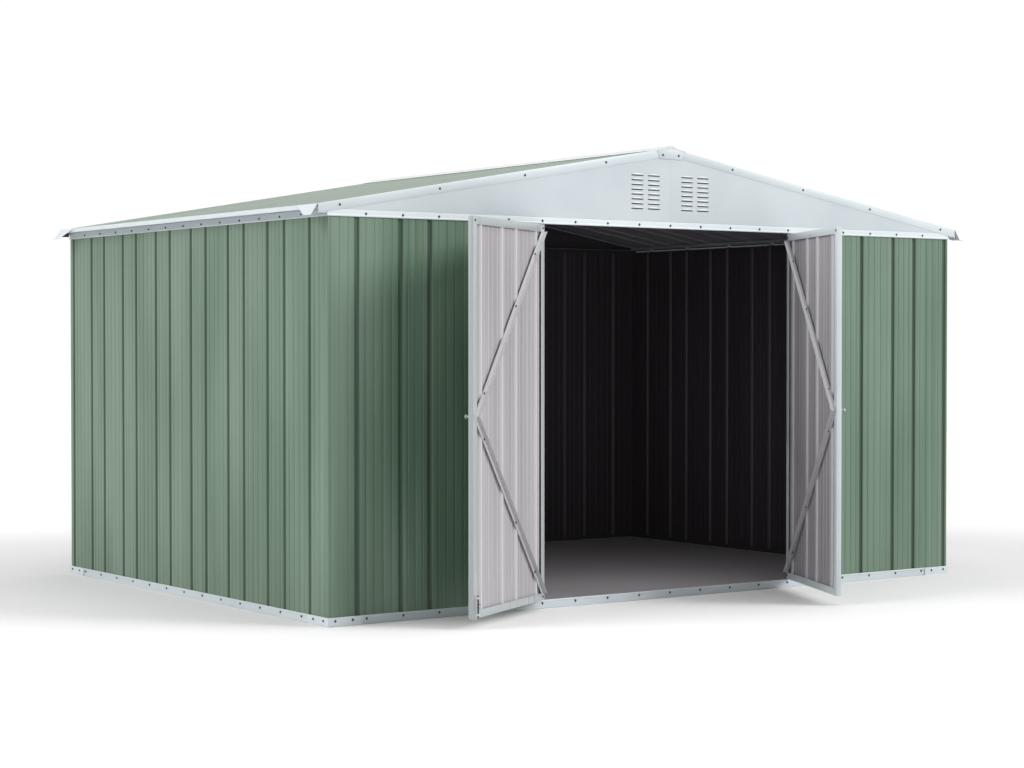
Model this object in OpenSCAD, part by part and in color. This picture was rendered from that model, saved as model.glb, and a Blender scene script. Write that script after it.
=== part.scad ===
// Metal storage shed with ribbed sheet walls, a low pitched roof and a pair of hinged doors.
// Origin: middle of the front sill, on the ground, in the outer plane of the front rails.
// +X is right seen from the front, +Y runs to the back and +Z is up. All sizes are in mm.

/* [Building] */
// Width over the wall rails
body_w = 3910; // [3200:10:5000]
// Depth over the wall rails
body_d = 2775; // [2200:10:3600]
// Height of the walls, to the top of the head rails
wall_h = 1856; // [1500:1:2300]
// Slope of the roof, in degrees
roof_angle = 9.8; // [6:0.1:16]

/* [Sheet metal] */
// Thickness of the folded rails, trims and gables
rail_t = 1.2; // [0.8:0.1:1.6]
// Thickness of the ribbed sheets
sheet_t = 1; // [0.6:0.1:1.2]
// Clearance between pieces that lie against each other
fit = 0.2; // [0.1:0.05:0.3]

/* [Rails] */
// Depth of the wall rails, from the outer face to the inner face
rail_d = 34; // [30:1:45]
// Height of the base rails
base_h = 41; // [30:1:60]
// Height of the head rails
head_h = 33; // [26:1:50]
// Height of the inner flange of the rails
inner_flange_h = 26; // [16:1:30]
// How far the rolled edge of a rail stands out
bead_d = 2.5; // [1.5:0.5:4]
// Height of the rolled edge of a rail
bead_h = 7; // [5:0.5:10]
// Length of each leg of the base corner brackets
bracket_leg = 175; // [90:5:250]

/* [Ribbed sheets] */
// Distance between repeats of the sheet profile
profile_pitch = 388.5; // [300:0.5:460]
// Distance between the grooves on either side of a wide band
wide_band = 231; // [180:1:260]
// Distance from the left corner to the first groove of the front wall
first_groove = 153; // [90:1:200]
// Distance from the front corner to the first groove of the left wall
side_first_groove = 166; // [90:1:200]
// Distance from the front edge of the roof to its first groove
roof_first_groove = 218; // [90:1:300]
// Least distance from the last groove of a wall to the corner
last_margin = 22; // [20:1:60]
// Depth of the grooves
groove_d = 9; // [6:0.5:11]
// Width of a groove at its mouth
groove_w = 28; // [22:1:36]
// Width of the floor of a groove
groove_floor = 14; // [8:1:18]

/* [Roof and gables] */
// Height of the roof seat above the head rails, at the wall
roof_seat = 16; // [12:1:24]
// How far the roof reaches past the wall rails
roof_overhang = 48; // [30:1:70]
// Height of the face of the rake trims
rake_face = 40; // [30:1:60]
// How far the rake trims reach back over the roof
rake_cover = 40; // [25:1:60]
// How far the outer tabs of the gables hang below the head rails' top
gable_tab = 20; // [10:1:28]
// Horizontal reach of the face of the eave trims
eave_run = 9; // [5:1:16]
// Drop of the face of the eave trims
eave_drop = 22; // [16:1:30]
// Depth of the return below the face of the eave trims
eave_return = 12; // [8:1:20]
// Horizontal reach of the sloping face of the eave corner caps
cap_run = 34; // [26:1:60]
// Drop of the sloping face of the eave corner caps
cap_drop = 52; // [40:1:70]
// Width of the lip of the eave corner caps
cap_lip = 26; // [12:1:40]
// Length of the eave corner caps along their upper edge
eave_cap_l = 180; // [130:5:240]
// How much shorter the eave corner caps are along their lip
eave_cap_cut = 120; // [20:5:120]
// Half width of the ridge cap
ridge_half = 95; // [60:1:140]
// Half width of the crown of the ridge cap
crown_half = 30; // [20:1:45]
// Height of the crown of the ridge cap
crown_h = 10; // [5:1:20]
// Half width of the apex plates
apex_half = 84; // [60:1:120]
// Height of the apex plates below the roof edge, at the middle
apex_drop = 56; // [40:1:80]

/* [Vents] */
// Length of a vent slot
slot_l = 73; // [50:1:90]
// Height of a vent slot
slot_h = 5.6; // [5:0.1:8]
// Distance between the rows of vent slots
slot_pitch = 23.2; // [15:0.1:30]
// Number of rows of vent slots
slot_rows = 8; // [4:1:8]
// Height of the lowest row above the head rail
slot_base = 60; // [40:1:90]
// Distance from the middle to the nearer column of slots
slot_x = 105.5; // [80:0.5:140]
// Distance between the two columns of slots on each half
slot_column = 103; // [90:1:130]

/* [Doors] */
// Clear width between the door jambs
doorway_w = 1616; // [1200:2:1700]
// Gap between a door and the jamb, the rails and the other door
door_gap = 5; // [5:0.5:8]
// Depth of a door leaf
leaf_t = 24; // [18:1:28]
// Width of the door stiles
stile_w = 40; // [32:1:60]
// Height of the door rails
door_rail_h = 35; // [28:1:60]
// Opening of the left door at rest, in degrees
left_open = 149; // [0:1:160]
// Opening of the right door at rest, in degrees
right_open = 65; // [0:1:160]
// Width of the jambs' flanges
jamb_flange = 28; // [26:1:40]

/* [Door fittings] */
// Width of the flat flange of the brace angles
brace_w = 25; // [18:1:32]
// Width of the standing flange of the brace angles
brace_stand = 17; // [12:1:30]
// Height at which the braces meet
brace_mid_z = 936; // [700:1:1150]
// Distance of the braces' far ends from the top and bottom of a door
brace_end = 32; // [20:1:80]
// Height of the door knobs
knob_z = 936; // [700:1:1150]
// How far a door knob stands out
knob_l = 24; // [18:1:35]
// Radius of a door knob
knob_r = 12; // [9:0.5:16]
// Outer radius of the hinge knuckles
knuckle_r = 6; // [5:0.5:8]
// Radius of the hinge pins
pin_r = 3; // [2:0.25:4]
// Length of a hinge
hinge_l = 76; // [60:1:100]
// Distance of the outer hinges from the top and bottom of a door
hinge_end = 205; // [120:5:300]
// Radius of the drop bolt
bolt_r = 4; // [3:0.5:5]
// Length of the drop bolt
bolt_l = 100; // [90:5:140]
// How far the drop bolt slides down
bolt_throw = 25; // [15:1:28]

/* [Hidden] */
$fn = 48;

// Levels and planes shared by the pieces
cover = 60;                                   // reach of cutting shapes past what they cut
seam = fit;                                   // half of the gap between mirrored halves
sheet_u = 2 * (rail_t + fit);                 // outer plane of the wall sheets, behind the rail face
sheet_z0 = rail_t + fit;                      // lower end of the wall sheets, on the base rail's web
sheet_z1 = wall_h - rail_t - fit;             // upper end of the wall sheets, under the head rail's web
lap = sheet_t + fit;                          // step between two sheets that lap in a groove
roof_tan = tan(roof_angle);
seat_ridge_z = wall_h + roof_seat + body_w / 2 * roof_tan;   // seat plane of the roof at the middle
roof_top_n = fit + sheet_t + groove_d;        // top of the roof sheets above the seat plane
rake_top_n = roof_top_n + fit + rail_t;       // top of the rake trims above the seat plane
cap_top_n = rake_top_n + fit + rail_t;        // top of the ridge cap's flanges above the seat plane
eave_x = body_w / 2 + roof_overhang;          // outer end of the roof
eave_riser = 10;                              // eave riser, inside the outer face of the side rail
eave_seat = 20;                               // width of the eave trim's seat on the head rail
seam_flange = 15;                             // depth of the gable halves' bolted flanges

// Door leaf and its hinge axis
leaf_front = rail_t + fit;                    // outer face of a closed door, behind the rail face
leaf_edge = doorway_w / 2 - door_gap;         // hinge edge of a closed door, from the middle
leaf_w = leaf_edge - door_gap / 2;            // width of a door leaf
leaf_z0 = base_h + door_gap;
leaf_z1 = wall_h - head_h - door_gap;
hinge_x = leaf_edge + door_gap / 2;
hinge_y = leaf_front - fit - knuckle_r;
hinge_plate_t = 2;
hinge_plate_w = 24;
pin_gap = 0.05;
knuckle_gap = 0.3;
hinge_zs = [leaf_z0 + hinge_end, (leaf_z0 + leaf_z1) / 2, leaf_z1 - hinge_end];
brace_margin = 6;                             // distance of the braces' ends from the edges of a leaf
bolt_clear = 1.5;                             // gap between the lowered drop bolt and the sill
bead_hem = 0.2;                               // how far a rolled edge reaches back behind the rail face
bolt_b = rail_d + bolt_clear + bolt_r - leaf_front;  // bolt axis, from the outer face of the leaf
bolt_a = leaf_w - stile_w / 2;                // bolt axis, from the hinge edge of the leaf

// Colours
steel_green = [0.50, 0.60, 0.53];
trim_white = [0.87, 0.90, 0.91];
galvanised = [0.72, 0.75, 0.76];
dark_steel = [0.35, 0.36, 0.37];

// ---------- Folded sheet outlines ----------

// Unit normal on the left of the line from a to b
function left_normal(a, b) = [a[1] - b[1], b[0] - a[0]] / norm(b - a);

// Offset of point i of path p that keeps a thickness t on the left of the path
function fold_offset(p, i, t) =
    i == 0 ? left_normal(p[0], p[1]) * t
    : i == len(p) - 1 ? left_normal(p[i - 1], p[i]) * t
    : let (a = left_normal(p[i - 1], p[i]), b = left_normal(p[i], p[i + 1])) (a + b) * t / (1 + a * b);

// Closed outline of a sheet of thickness t folded along path p, with the metal on the left
function folded(p, t) = concat(p, [for (i = [len(p) - 1:-1:0]) p[i] + fold_offset(p, i, t)]);

function reversed(p) = [for (i = [len(p) - 1:-1:0]) p[i]];

// Number of grooves' repeats that fit between the first groove and the far end
function repeats(length, first) = floor((length - last_margin - wide_band - first) / profile_pitch) + 1;

// Groove centres of a wall of the given length, from the corner next to its first groove
function wall_grooves(length, first) =
    [for (k = [0:repeats(length, first) - 1]) for (b = [0, wide_band]) first + k * profile_pitch + b];

// Distance from the last groove of a wall to its far corner
function end_leg(length, first) = let (g = wall_grooves(length, first)) length - g[len(g) - 1];

// Path of the outer face across the grooves at centres g, where the bands lie at depth u0
function groove_path(g, u0) = [for (c = g) each [
    [c - groove_w / 2, u0], [c - groove_floor / 2, u0 + groove_d],
    [c + groove_floor / 2, u0 + groove_d], [c + groove_w / 2, u0]]];

// Ends of a sheet that lap under a corner panel, in the groove at centre c
function lap_start(c, u0) = [
    [c - groove_floor / 2, u0 + groove_d], [c + groove_floor / 2, u0 + groove_d], [c + groove_w / 2, u0]];
function lap_end(c, u0) = [
    [c - groove_w / 2, u0], [c - groove_floor / 2, u0 + groove_d], [c + groove_floor / 2, u0 + groove_d]];

// Part of a list from index i to index j
function slice(v, i, j) = [for (k = [i:j]) v[k]];

// ---------- Placing ----------

// Wall frames: X runs to the right seen from outside, from the wall's left end, and Y runs inwards
module on_front() { translate([-body_w / 2, 0, 0]) children(); }
module on_right() { translate([body_w / 2, 0, 0]) rotate([0, 0, 90]) children(); }
module on_back() { translate([body_w / 2, body_d, 0]) rotate([0, 0, 180]) children(); }
module on_left() { translate([-body_w / 2, body_d, 0]) rotate([0, 0, -90]) children(); }

// The back of the building repeats the front, turned about the middle
module at_back() { translate([0, body_d, 0]) rotate([0, 0, 180]) children(); }

// Frame of the right roof slope: X runs down the slope, Z is square to it and 0 is the roof's seat
module on_slope() { translate([0, 0, seat_ridge_z]) rotate([0, roof_angle, 0]) children(); }

// Extrudes an outline given across a wall (inwards, up) along the wall
module along_x(length) { rotate([90, 0, 90]) linear_extrude(length) children(); }

// Extrudes an outline given in X and Z from y0 to y1
module along_y(y0, y1) { translate([0, y1, 0]) rotate([90, 0, 0]) linear_extrude(y1 - y0) children(); }

// Swings a left door leaf, modelled closed, about its hinge axis
module swung(angle) {
    translate([-hinge_x, hinge_y, 0]) rotate([0, 0, -angle]) translate([hinge_x, -hinge_y, 0]) children();
}
module on_left_door() { swung(left_open) children(); }
module on_right_door() { mirror([1, 0, 0]) swung(right_open) children(); }

// Leaf frame of a closed left door: X from its hinge edge, Y from its outer face inwards
module on_leaf() { translate([-leaf_edge, leaf_front, 0]) children(); }

// ---------- Rails ----------

// Outline of a rail that stands on its web, open at the top
function rail_outline(height) = folded([
    [bead_hem, height], [-bead_d, height], [-bead_d, height - bead_h],
    [0, height - bead_h - bead_d], [0, 0], [rail_d, 0], [rail_d, inner_flange_h]], rail_t);

// Plan of a wall's rail between its mitred corners
module mitre_plan(length) {
    polygon([
        [seam - cover, -cover], [length - seam + cover, -cover],
        [length - seam - rail_d - cover, rail_d + cover], [seam + rail_d + cover, rail_d + cover]]);
}

module base_rail(length) {
    color(trim_white) intersection() {
        translate([-cover, 0, 0]) along_x(length + 2 * cover) polygon(rail_outline(base_h));
        linear_extrude(base_h) mitre_plan(length);
    }
}

module head_rail(length) {
    color(trim_white) intersection() {
        translate([-cover, 0, wall_h]) mirror([0, 0, 1])
            along_x(length + 2 * cover) polygon(rail_outline(head_h));
        translate([0, 0, wall_h - head_h]) linear_extrude(head_h) mitre_plan(length);
    }
}

module base_rail_front() { on_front() base_rail(body_w); }
module base_rail_back() { on_back() base_rail(body_w); }
module base_rail_left() { on_left() base_rail(body_d); }
module base_rail_right() { on_right() base_rail(body_d); }
module head_rail_front() { on_front() head_rail(body_w); }
module head_rail_back() { on_back() head_rail(body_w); }
module head_rail_left() { on_left() head_rail(body_d); }
module head_rail_right() { on_right() head_rail(body_d); }

// Bracket that wraps the outside of a base corner, at the left end of a wall
module base_bracket() {
    out = bead_d + fit + rail_t;
    linear_extrude(base_h) polygon(folded([[-out, bracket_leg], [-out, -out], [bracket_leg, -out]], rail_t));
}

module base_corner_brackets() {
    color(galvanised) {
        on_front() base_bracket();
        on_right() base_bracket();
        on_back() base_bracket();
        on_left() base_bracket();
    }
}

// ---------- Walls ----------

// Ribbed wall sheet with the given plan path of its outer face
module wall_sheet(path) {
    color(steel_green) translate([0, 0, sheet_z0]) linear_extrude(sheet_z1 - sheet_z0)
        polygon(folded(path, sheet_t));
}

// Wall sheet from the first of the grooves g to the last, lapped under both corner panels
module full_wall(g) {
    last = len(g) - 1;
    wall_sheet(concat(
        lap_start(g[0], sheet_u), groove_path(slice(g, 1, last - 1), sheet_u), lap_end(g[last], sheet_u)));
}

jamb_s = [(body_w - doorway_w) / 2, (body_w + doorway_w) / 2];   // jamb faces along the front wall
front_grooves = wall_grooves(body_w, first_groove);
side_grooves = reversed([for (c = wall_grooves(body_d, side_first_groove)) body_d - c]);
edge_room = jamb_flange + groove_w / 2;
left_grooves = [for (c = front_grooves) if (c > first_groove && c < jamb_s[0] - edge_room) c];
right_grooves = [for (c = slice(front_grooves, 0, len(front_grooves) - 2)) if (c > jamb_s[1] + edge_room) c];

module wall_front_left() {
    on_front() wall_sheet(concat(
        lap_start(first_groove, sheet_u), groove_path(left_grooves, sheet_u),
        [[jamb_s[0] - rail_t - fit, sheet_u]]));
}

module wall_front_right() {
    on_front() wall_sheet(concat(
        [[jamb_s[1] + rail_t + fit, sheet_u]], groove_path(right_grooves, sheet_u),
        lap_end(front_grooves[len(front_grooves) - 1], sheet_u)));
}

module wall_left() { on_left() full_wall(side_grooves); }
module wall_right() { on_right() full_wall(side_grooves); }
module wall_back() { on_back() full_wall(front_grooves); }

// Corner panel at a wall's left end, from the groove at leg_a on the wall before it to the one at leg_b
module corner_panel(leg_a, leg_b) {
    floor_u = sheet_u + groove_d - lap;
    reach = groove_floor / 2 - 0.5;
    wall_sheet([
        [floor_u, leg_a + reach], [floor_u, leg_a - groove_floor / 2], [sheet_u, leg_a - groove_w / 2],
        [sheet_u, sheet_u],
        [leg_b - groove_w / 2, sheet_u], [leg_b - groove_floor / 2, floor_u], [leg_b + reach, floor_u]]);
}

front_end = end_leg(body_w, first_groove);
side_end = end_leg(body_d, side_first_groove);
module corner_front_left() { on_front() corner_panel(side_first_groove, first_groove); }
module corner_back_right() { on_back() corner_panel(side_first_groove, first_groove); }
module corner_front_right() { on_right() corner_panel(front_end, side_end); }
module corner_back_left() { on_left() corner_panel(front_end, side_end); }

// ---------- Door jambs ----------

module jamb_right() {
    x0 = doorway_w / 2;
    x1 = x0 + jamb_flange;
    color(trim_white) translate([0, 0, sheet_z0]) linear_extrude(sheet_z1 - sheet_z0) polygon(folded([
        [x1, rail_d - leaf_front], [x0, rail_d - leaf_front], [x0, leaf_front], [x1, leaf_front]], rail_t));
}
module jamb_left() { mirror([1, 0, 0]) jamb_right(); }

// ---------- Gables ----------

// Seat plane of the roof at distance x from the middle
function seat_z(x) = seat_ridge_z - x * roof_tan;

// Right half of a gable: plate, bolted middle flange, foot on the head rail, top flange and vent slots
module gable_half() {
    z0 = wall_h + fit;
    wall_x = body_w / 2;
    tab_x = wall_x + bead_d + 2;
    foot_x = wall_x - rail_d - fit;
    flange_l = (wall_x - eave_riser - eave_seat - fit) / cos(roof_angle);
    color(trim_white) difference() {
        union() {
            along_y(0, rail_t) polygon([
                [seam, z0], [tab_x, z0], [tab_x, wall_h - gable_tab], [eave_x - fit, wall_h - gable_tab],
                [eave_x - fit, seat_z(eave_x)], [seam, seat_z(seam)]]);
            along_y(0, seam_flange) polygon([
                [seam, z0], [seam + rail_t, z0],
                [seam + rail_t, seat_z(seam + rail_t)], [seam, seat_z(seam)]]);
            translate([seam, 0, z0]) cube([foot_x - seam, rail_d, rail_t]);
            intersection() {
                on_slope() translate([-cover, 0, -rail_t]) cube([flange_l + cover, rail_d, rail_t]);
                translate([seam, -cover, z0]) cube([wall_x, body_d, seat_ridge_z]);
            }
        }
        vent_slots();
    }
}

// Vent slots of the right half of a gable
module vent_slots() {
    for (row = [0:slot_rows - 1], column = [0, 1])
        translate([slot_x + column * slot_column - slot_l / 2, -cover,
                   wall_h + slot_base + row * slot_pitch - slot_h / 2])
            cube([slot_l, 2 * cover, slot_h]);
}

module gable_front_right() { gable_half(); }
module gable_front_left() { mirror([1, 0, 0]) gable_half(); }
module gable_back_left() { at_back() gable_half(); }
module gable_back_right() { at_back() mirror([1, 0, 0]) gable_half(); }

// Rake trim over the right half of a gable
module rake_trim() {
    face_y = -rail_t - fit;
    intersection() {
        on_slope() translate([-cover, 0, 0]) along_x(eave_x / cos(roof_angle) + 2 * cover) polygon(folded([
            [rake_cover, rake_top_n], [face_y, rake_top_n], [face_y, rake_top_n - rake_face]], rail_t));
        translate([seam, -cover, 0]) cube([eave_x - seam, body_d, 2 * wall_h]);
    }
}

module rake_trim_pair() {
    color(trim_white) {
        rake_trim();
        mirror([1, 0, 0]) rake_trim();
    }
}

module rake_trims_front() { rake_trim_pair(); }
module rake_trims_back() { at_back() rake_trim_pair(); }

// ---------- Roof ----------

roof_grooves = [for (k = [0:repeats(body_d, roof_first_groove)]) for (b = [0, wide_band])
    let (c = roof_first_groove + k * profile_pitch + b) if (c < body_d - rake_cover - groove_w) c];

// Ribbed sheet of the right roof slope
module roof_right() {
    top_path = concat([[fit, 0]], groove_path(roof_grooves, 0), [[body_d - fit, 0]]);
    path = reversed([for (p = top_path) [p[0], roof_top_n - p[1]]]);
    color(steel_green) intersection() {
        on_slope() translate([-cover, 0, 0]) along_x(eave_x / cos(roof_angle) + 2 * cover)
            polygon(folded(path, sheet_t));
        translate([seam, 0, 0]) cube([eave_x - seam, body_d, 2 * wall_h]);
    }
}
module roof_left() { mirror([1, 0, 0]) roof_right(); }

// Top of the ridge cap's flanges at distance x from the middle
function cap_z(x) = seat_z(x) + cap_top_n / cos(roof_angle);

module ridge_cap() {
    crown_top = crown_half / 2;
    crown_z = cap_z(crown_top) + crown_h;
    reach = 2 * (rail_t + fit) + 1;
    color(galvanised) along_y(-reach, body_d + reach) polygon(folded([
        [ridge_half, cap_z(ridge_half)], [crown_half, cap_z(crown_half)], [crown_top, crown_z],
        [-crown_top, crown_z], [-crown_half, cap_z(crown_half)], [-ridge_half, cap_z(ridge_half)]], rail_t));
}

// Plate over the joint of the rake trims at the top of a gable
module apex_plate() {
    edge = rake_top_n / cos(roof_angle);
    corner_half = apex_half - 14;
    foot_z = seat_ridge_z + edge - apex_drop;
    plate_y = -2 * (rail_t + fit);
    along_y(plate_y, plate_y + rail_t) polygon([
        [-corner_half, foot_z], [corner_half, foot_z], [apex_half, seat_z(apex_half) + edge],
        [0, seat_ridge_z + edge], [-apex_half, seat_z(apex_half) + edge]]);
}

module apex_plates() {
    color(trim_white) {
        apex_plate();
        at_back() apex_plate();
    }
}

// ---------- Eaves ----------

face_top = [eave_x + fit + 3, seat_z(eave_x) + roof_top_n / cos(roof_angle) + 2];
face_foot = face_top + [eave_run, -eave_drop];
cap_top = [face_top[0] + rail_t + 0.5, face_top[1]];
cap_fold = cap_top + [cap_run, -cap_drop];

// Eave trim of the right side: seat on the head rail, riser, roof flange, then a fold in front of
// the roof sheet's end, the hanging face and its return
module eave_trim_right() {
    riser_x = body_w / 2 - eave_riser;
    seat_top = wall_h + fit + rail_t;
    color(trim_white) along_y(leaf_front, body_d - leaf_front) polygon(folded([
        face_foot - [eave_return, 0], face_foot, face_top, [eave_x + fit, face_top[1]],
        [eave_x + fit, seat_z(eave_x)], [riser_x, seat_z(riser_x)],
        [riser_x, seat_top], [riser_x - eave_seat, seat_top]], rail_t));
}
module eave_trim_left() { mirror([1, 0, 0]) eave_trim_right(); }

// Cap over the front end of the right eave trim, with a sloping face, a lip and a slanting end
module eave_cap() {
    intersection() {
        along_y(-rail_t - fit, eave_cap_l) polygon(folded([
            cap_fold + [cap_lip, -2], cap_fold, cap_top], rail_t));
        translate([eave_x - cover, 0, 0]) rotate([90, 0, 90]) linear_extrude(3 * cover) polygon([
            [-cover, cap_fold[1] - cover], [eave_cap_l - eave_cap_cut, cap_fold[1] - cover],
            [eave_cap_l - eave_cap_cut, cap_fold[1]], [eave_cap_l, cap_top[1]],
            [eave_cap_l, cap_top[1] + cover], [-cover, cap_top[1] + cover]]);
    }
}

module eave_caps() {
    color(trim_white) {
        eave_cap();
        mirror([1, 0, 0]) eave_cap();
        at_back() eave_cap();
        at_back() mirror([1, 0, 0]) eave_cap();
    }
}

// ---------- Hinges ----------

// Knuckle of a hinge from z0 to z1, centred on the origin, with a hole of radius r
module knuckle(z0, z1, r) {
    translate([0, 0, z0]) difference() {
        cylinder(r = knuckle_r, h = z1 - z0);
        if (r > 0) translate([0, 0, -1]) cylinder(r = r, h = z1 - z0 + 2);
    }
}

// Flat plate of a hinge at the back of the knuckles, on the side given by the sign
module hinge_plate(z0, z1, sign) {
    x0 = sign > 0 ? 0 : -knuckle_r / 2 - hinge_plate_w;
    translate([x0, knuckle_r - hinge_plate_t, z0])
        cube([knuckle_r / 2 + hinge_plate_w, hinge_plate_t, z1 - z0]);
}

third = hinge_l / 3;

// Half of a left hinge that stays on the jamb, with its pin
module jamb_hinge() {
    for (z0 = [-hinge_l / 2, hinge_l / 2 - third + knuckle_gap]) {
        z1 = z0 + third - knuckle_gap;
        knuckle(z0, z1, 0);
        hinge_plate(z0, z1, -1);
    }
    translate([-knuckle_r / 2 - hinge_plate_w, knuckle_r - hinge_plate_t, -hinge_l / 2])
        cube([hinge_plate_w - 3, hinge_plate_t, hinge_l]);
    translate([0, 0, -hinge_l / 2]) cylinder(r = pin_r, h = hinge_l);
}

// Half of a left hinge that swings with the door, modelled closed
module door_hinge() {
    difference() {
        union() {
            translate([0, 0, -third / 2]) cylinder(r = knuckle_r, h = third);
            hinge_plate(-third / 2, third / 2, 1);
            translate([knuckle_r / 2 + 3, knuckle_r - hinge_plate_t, -hinge_l / 2])
                cube([hinge_plate_w - 3, hinge_plate_t, hinge_l]);
        }
        translate([0, 0, -hinge_l]) cylinder(r = pin_r + pin_gap, h = 2 * hinge_l);
    }
}

module jamb_hinge_row() {
    for (z = hinge_zs) translate([-hinge_x, hinge_y, z]) jamb_hinge();
}

module jamb_hinges() {
    color(galvanised) {
        jamb_hinge_row();
        mirror([1, 0, 0]) jamb_hinge_row();
    }
}

module door_hinges() {
    color(galvanised) for (z = hinge_zs) translate([-hinge_x, hinge_y, z]) door_hinge();
}

// ---------- Door leaves ----------

// Frame of a leaf: two stiles and two rails, each a folded channel that holds the panel's edge
module door_frame() {
    stile = folded([[stile_w, leaf_t], [0, leaf_t], [0, 0], [stile_w, 0]], rail_t);
    rail = folded([[0, door_rail_h], [0, 0], [leaf_t, 0], [leaf_t, door_rail_h]], rail_t);
    rail_l = leaf_w - 2 * (stile_w + fit);
    color(trim_white) {
        translate([0, 0, leaf_z0]) linear_extrude(leaf_z1 - leaf_z0) polygon(stile);
        translate([leaf_w, 0, leaf_z0]) mirror([1, 0, 0]) linear_extrude(leaf_z1 - leaf_z0) polygon(stile);
        translate([stile_w + fit, 0, leaf_z0]) along_x(rail_l) polygon(rail);
        translate([stile_w + fit, 0, leaf_z1]) mirror([0, 0, 1]) along_x(rail_l) polygon(rail);
    }
}

// Ribbed panel held in the frame, with its ribs just under the frame's inner flanges
module door_panel() {
    margin = rail_t + fit;
    band_b = leaf_t - rail_t - fit - sheet_t - groove_d;
    middle = leaf_w / 2;
    narrow = (profile_pitch - wide_band) / 2;
    grooves = [middle - narrow - wide_band, middle - narrow, middle + narrow, middle + narrow + wide_band];
    color(galvanised) translate([0, 0, leaf_z0 + margin])
        linear_extrude(leaf_z1 - leaf_z0 - 2 * margin) polygon(folded(concat(
            [[margin, band_b]], groove_path(grooves, band_b), [[leaf_w - margin, band_b]]), sheet_t));
}

// Brace angle from the hinge stile at height z_far to the middle of the free stile
module door_brace(z_far, side) {
    run = leaf_w - stile_w;
    rise = brace_mid_z - z_far;
    angle = atan2(rise, run);
    length = norm([run, rise]);
    z_cut = side > 0 ? brace_mid_z + fit : brace_mid_z - fit - 2 * cover - wall_h;
    intersection() {
        translate([stile_w / 2, leaf_t + fit, z_far]) rotate([0, -angle, 0])
            translate([-2 * cover, 0, 0]) mirror([0, 0, side > 0 ? 0 : 1])
                along_x(length + 4 * cover) polygon(folded([
                    [0, brace_w / 2], [0, -brace_w / 2], [brace_stand, -brace_w / 2]], rail_t));
        translate([brace_margin, 0, leaf_z0 + brace_margin])
            cube([leaf_w - 2 * brace_margin, rail_d + cover, leaf_z1 - leaf_z0 - 2 * brace_margin]);
        translate([0, 0, z_cut]) cube([leaf_w, rail_d + cover, wall_h + 2 * cover]);
    }
}

module door_braces() {
    color(galvanised) {
        door_brace(leaf_z1 - brace_end, 1);
        door_brace(leaf_z0 + brace_end, -1);
    }
}

// Round knob on a rose, on the outer face of the free stile
module door_knob() {
    rose_r = knob_r + 4;
    stem_r = knob_r / 2;
    color(dark_steel) translate([leaf_w - stile_w / 2, -fit, knob_z]) rotate([90, 0, 0])
        rotate_extrude() polygon([
            [0, 0], [rose_r, 0], [rose_r, 2], [stem_r, 4], [stem_r, knob_l / 2], [knob_r, knob_l / 2 + 3],
            [knob_r, knob_l - 2], [knob_r - 2, knob_l], [0, knob_l]]);
}

// ---------- Drop bolt ----------

guide_d = bolt_r + 3;

// Back plate and two guides of the drop bolt, on the inside of the left door's free stile
module bolt_guides() {
    plate_w = 2 * guide_d + 8;
    plate_t = 1.5;
    b0 = leaf_t + fit;
    z0 = leaf_z0 + 8;
    guide_h = 10;
    color(galvanised) difference() {
        union() {
            translate([bolt_a - plate_w / 2, b0, z0]) cube([plate_w, plate_t, bolt_l - 4]);
            for (z = [z0 + 6, z0 + bolt_l - 10 - guide_h])
                translate([bolt_a - guide_d, b0, z]) cube([2 * guide_d, bolt_b + guide_d - b0, guide_h]);
        }
        translate([bolt_a, bolt_b, 0]) cylinder(r = bolt_r + fit, h = wall_h);
    }
}

// Drop bolt with its side arm, raised
module drop_bolt() {
    z0 = leaf_z0 + 4;
    color(dark_steel) translate([bolt_a, bolt_b, z0]) {
        cylinder(r = bolt_r, h = bolt_l);
        translate([0, 0, bolt_l / 2 + 8]) rotate([0, -90, 0]) cylinder(r = 2.5, h = 22);
    }
}

module left_door_panel() { on_left_door() on_leaf() door_panel(); }
module left_door_frame() { on_left_door() on_leaf() door_frame(); }
module left_door_braces() { on_left_door() on_leaf() door_braces(); }
module left_door_hinges() { on_left_door() door_hinges(); }
module left_door_knob() { on_left_door() on_leaf() door_knob(); }
module left_bolt_guides() { on_left_door() on_leaf() bolt_guides(); }
module left_drop_bolt() { on_left_door() on_leaf() drop_bolt(); }
module right_door_panel() { on_right_door() on_leaf() door_panel(); }
module right_door_frame() { on_right_door() on_leaf() door_frame(); }
module right_door_braces() { on_right_door() on_leaf() door_braces(); }
module right_door_hinges() { on_right_door() door_hinges(); }
module right_door_knob() { on_right_door() on_leaf() door_knob(); }

base_rail_front();
base_rail_back();
base_rail_left();
base_rail_right();
base_corner_brackets();
head_rail_front();
head_rail_back();
head_rail_left();
head_rail_right();
wall_front_left();
wall_front_right();
wall_left();
wall_right();
wall_back();
corner_front_left();
corner_front_right();
corner_back_left();
corner_back_right();
jamb_left();
jamb_right();
gable_front_left();
gable_front_right();
gable_back_left();
gable_back_right();
rake_trims_front();
rake_trims_back();
roof_left();
roof_right();
ridge_cap();
apex_plates();
eave_trim_left();
eave_trim_right();
eave_caps();
jamb_hinges();
left_door_panel();
left_door_frame();
left_door_braces();
left_door_hinges();
left_door_knob();
left_bolt_guides();
left_drop_bolt();
right_door_panel();
right_door_frame();
right_door_braces();
right_door_hinges();
right_door_knob();
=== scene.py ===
"""Looks of a ribbed steel garden shed with a pair of hinged doors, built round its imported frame.

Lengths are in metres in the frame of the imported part: the origin is the middle of the front
sill on the ground, +X runs to the right, +Y to the back and +Z up.
"""

import logging
import math
from dataclasses import dataclass, field
from enum import Enum
from typing import Callable, Iterable, Sequence, Union

import bmesh
import bpy
from mathutils import Euler, Matrix, Vector


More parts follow.
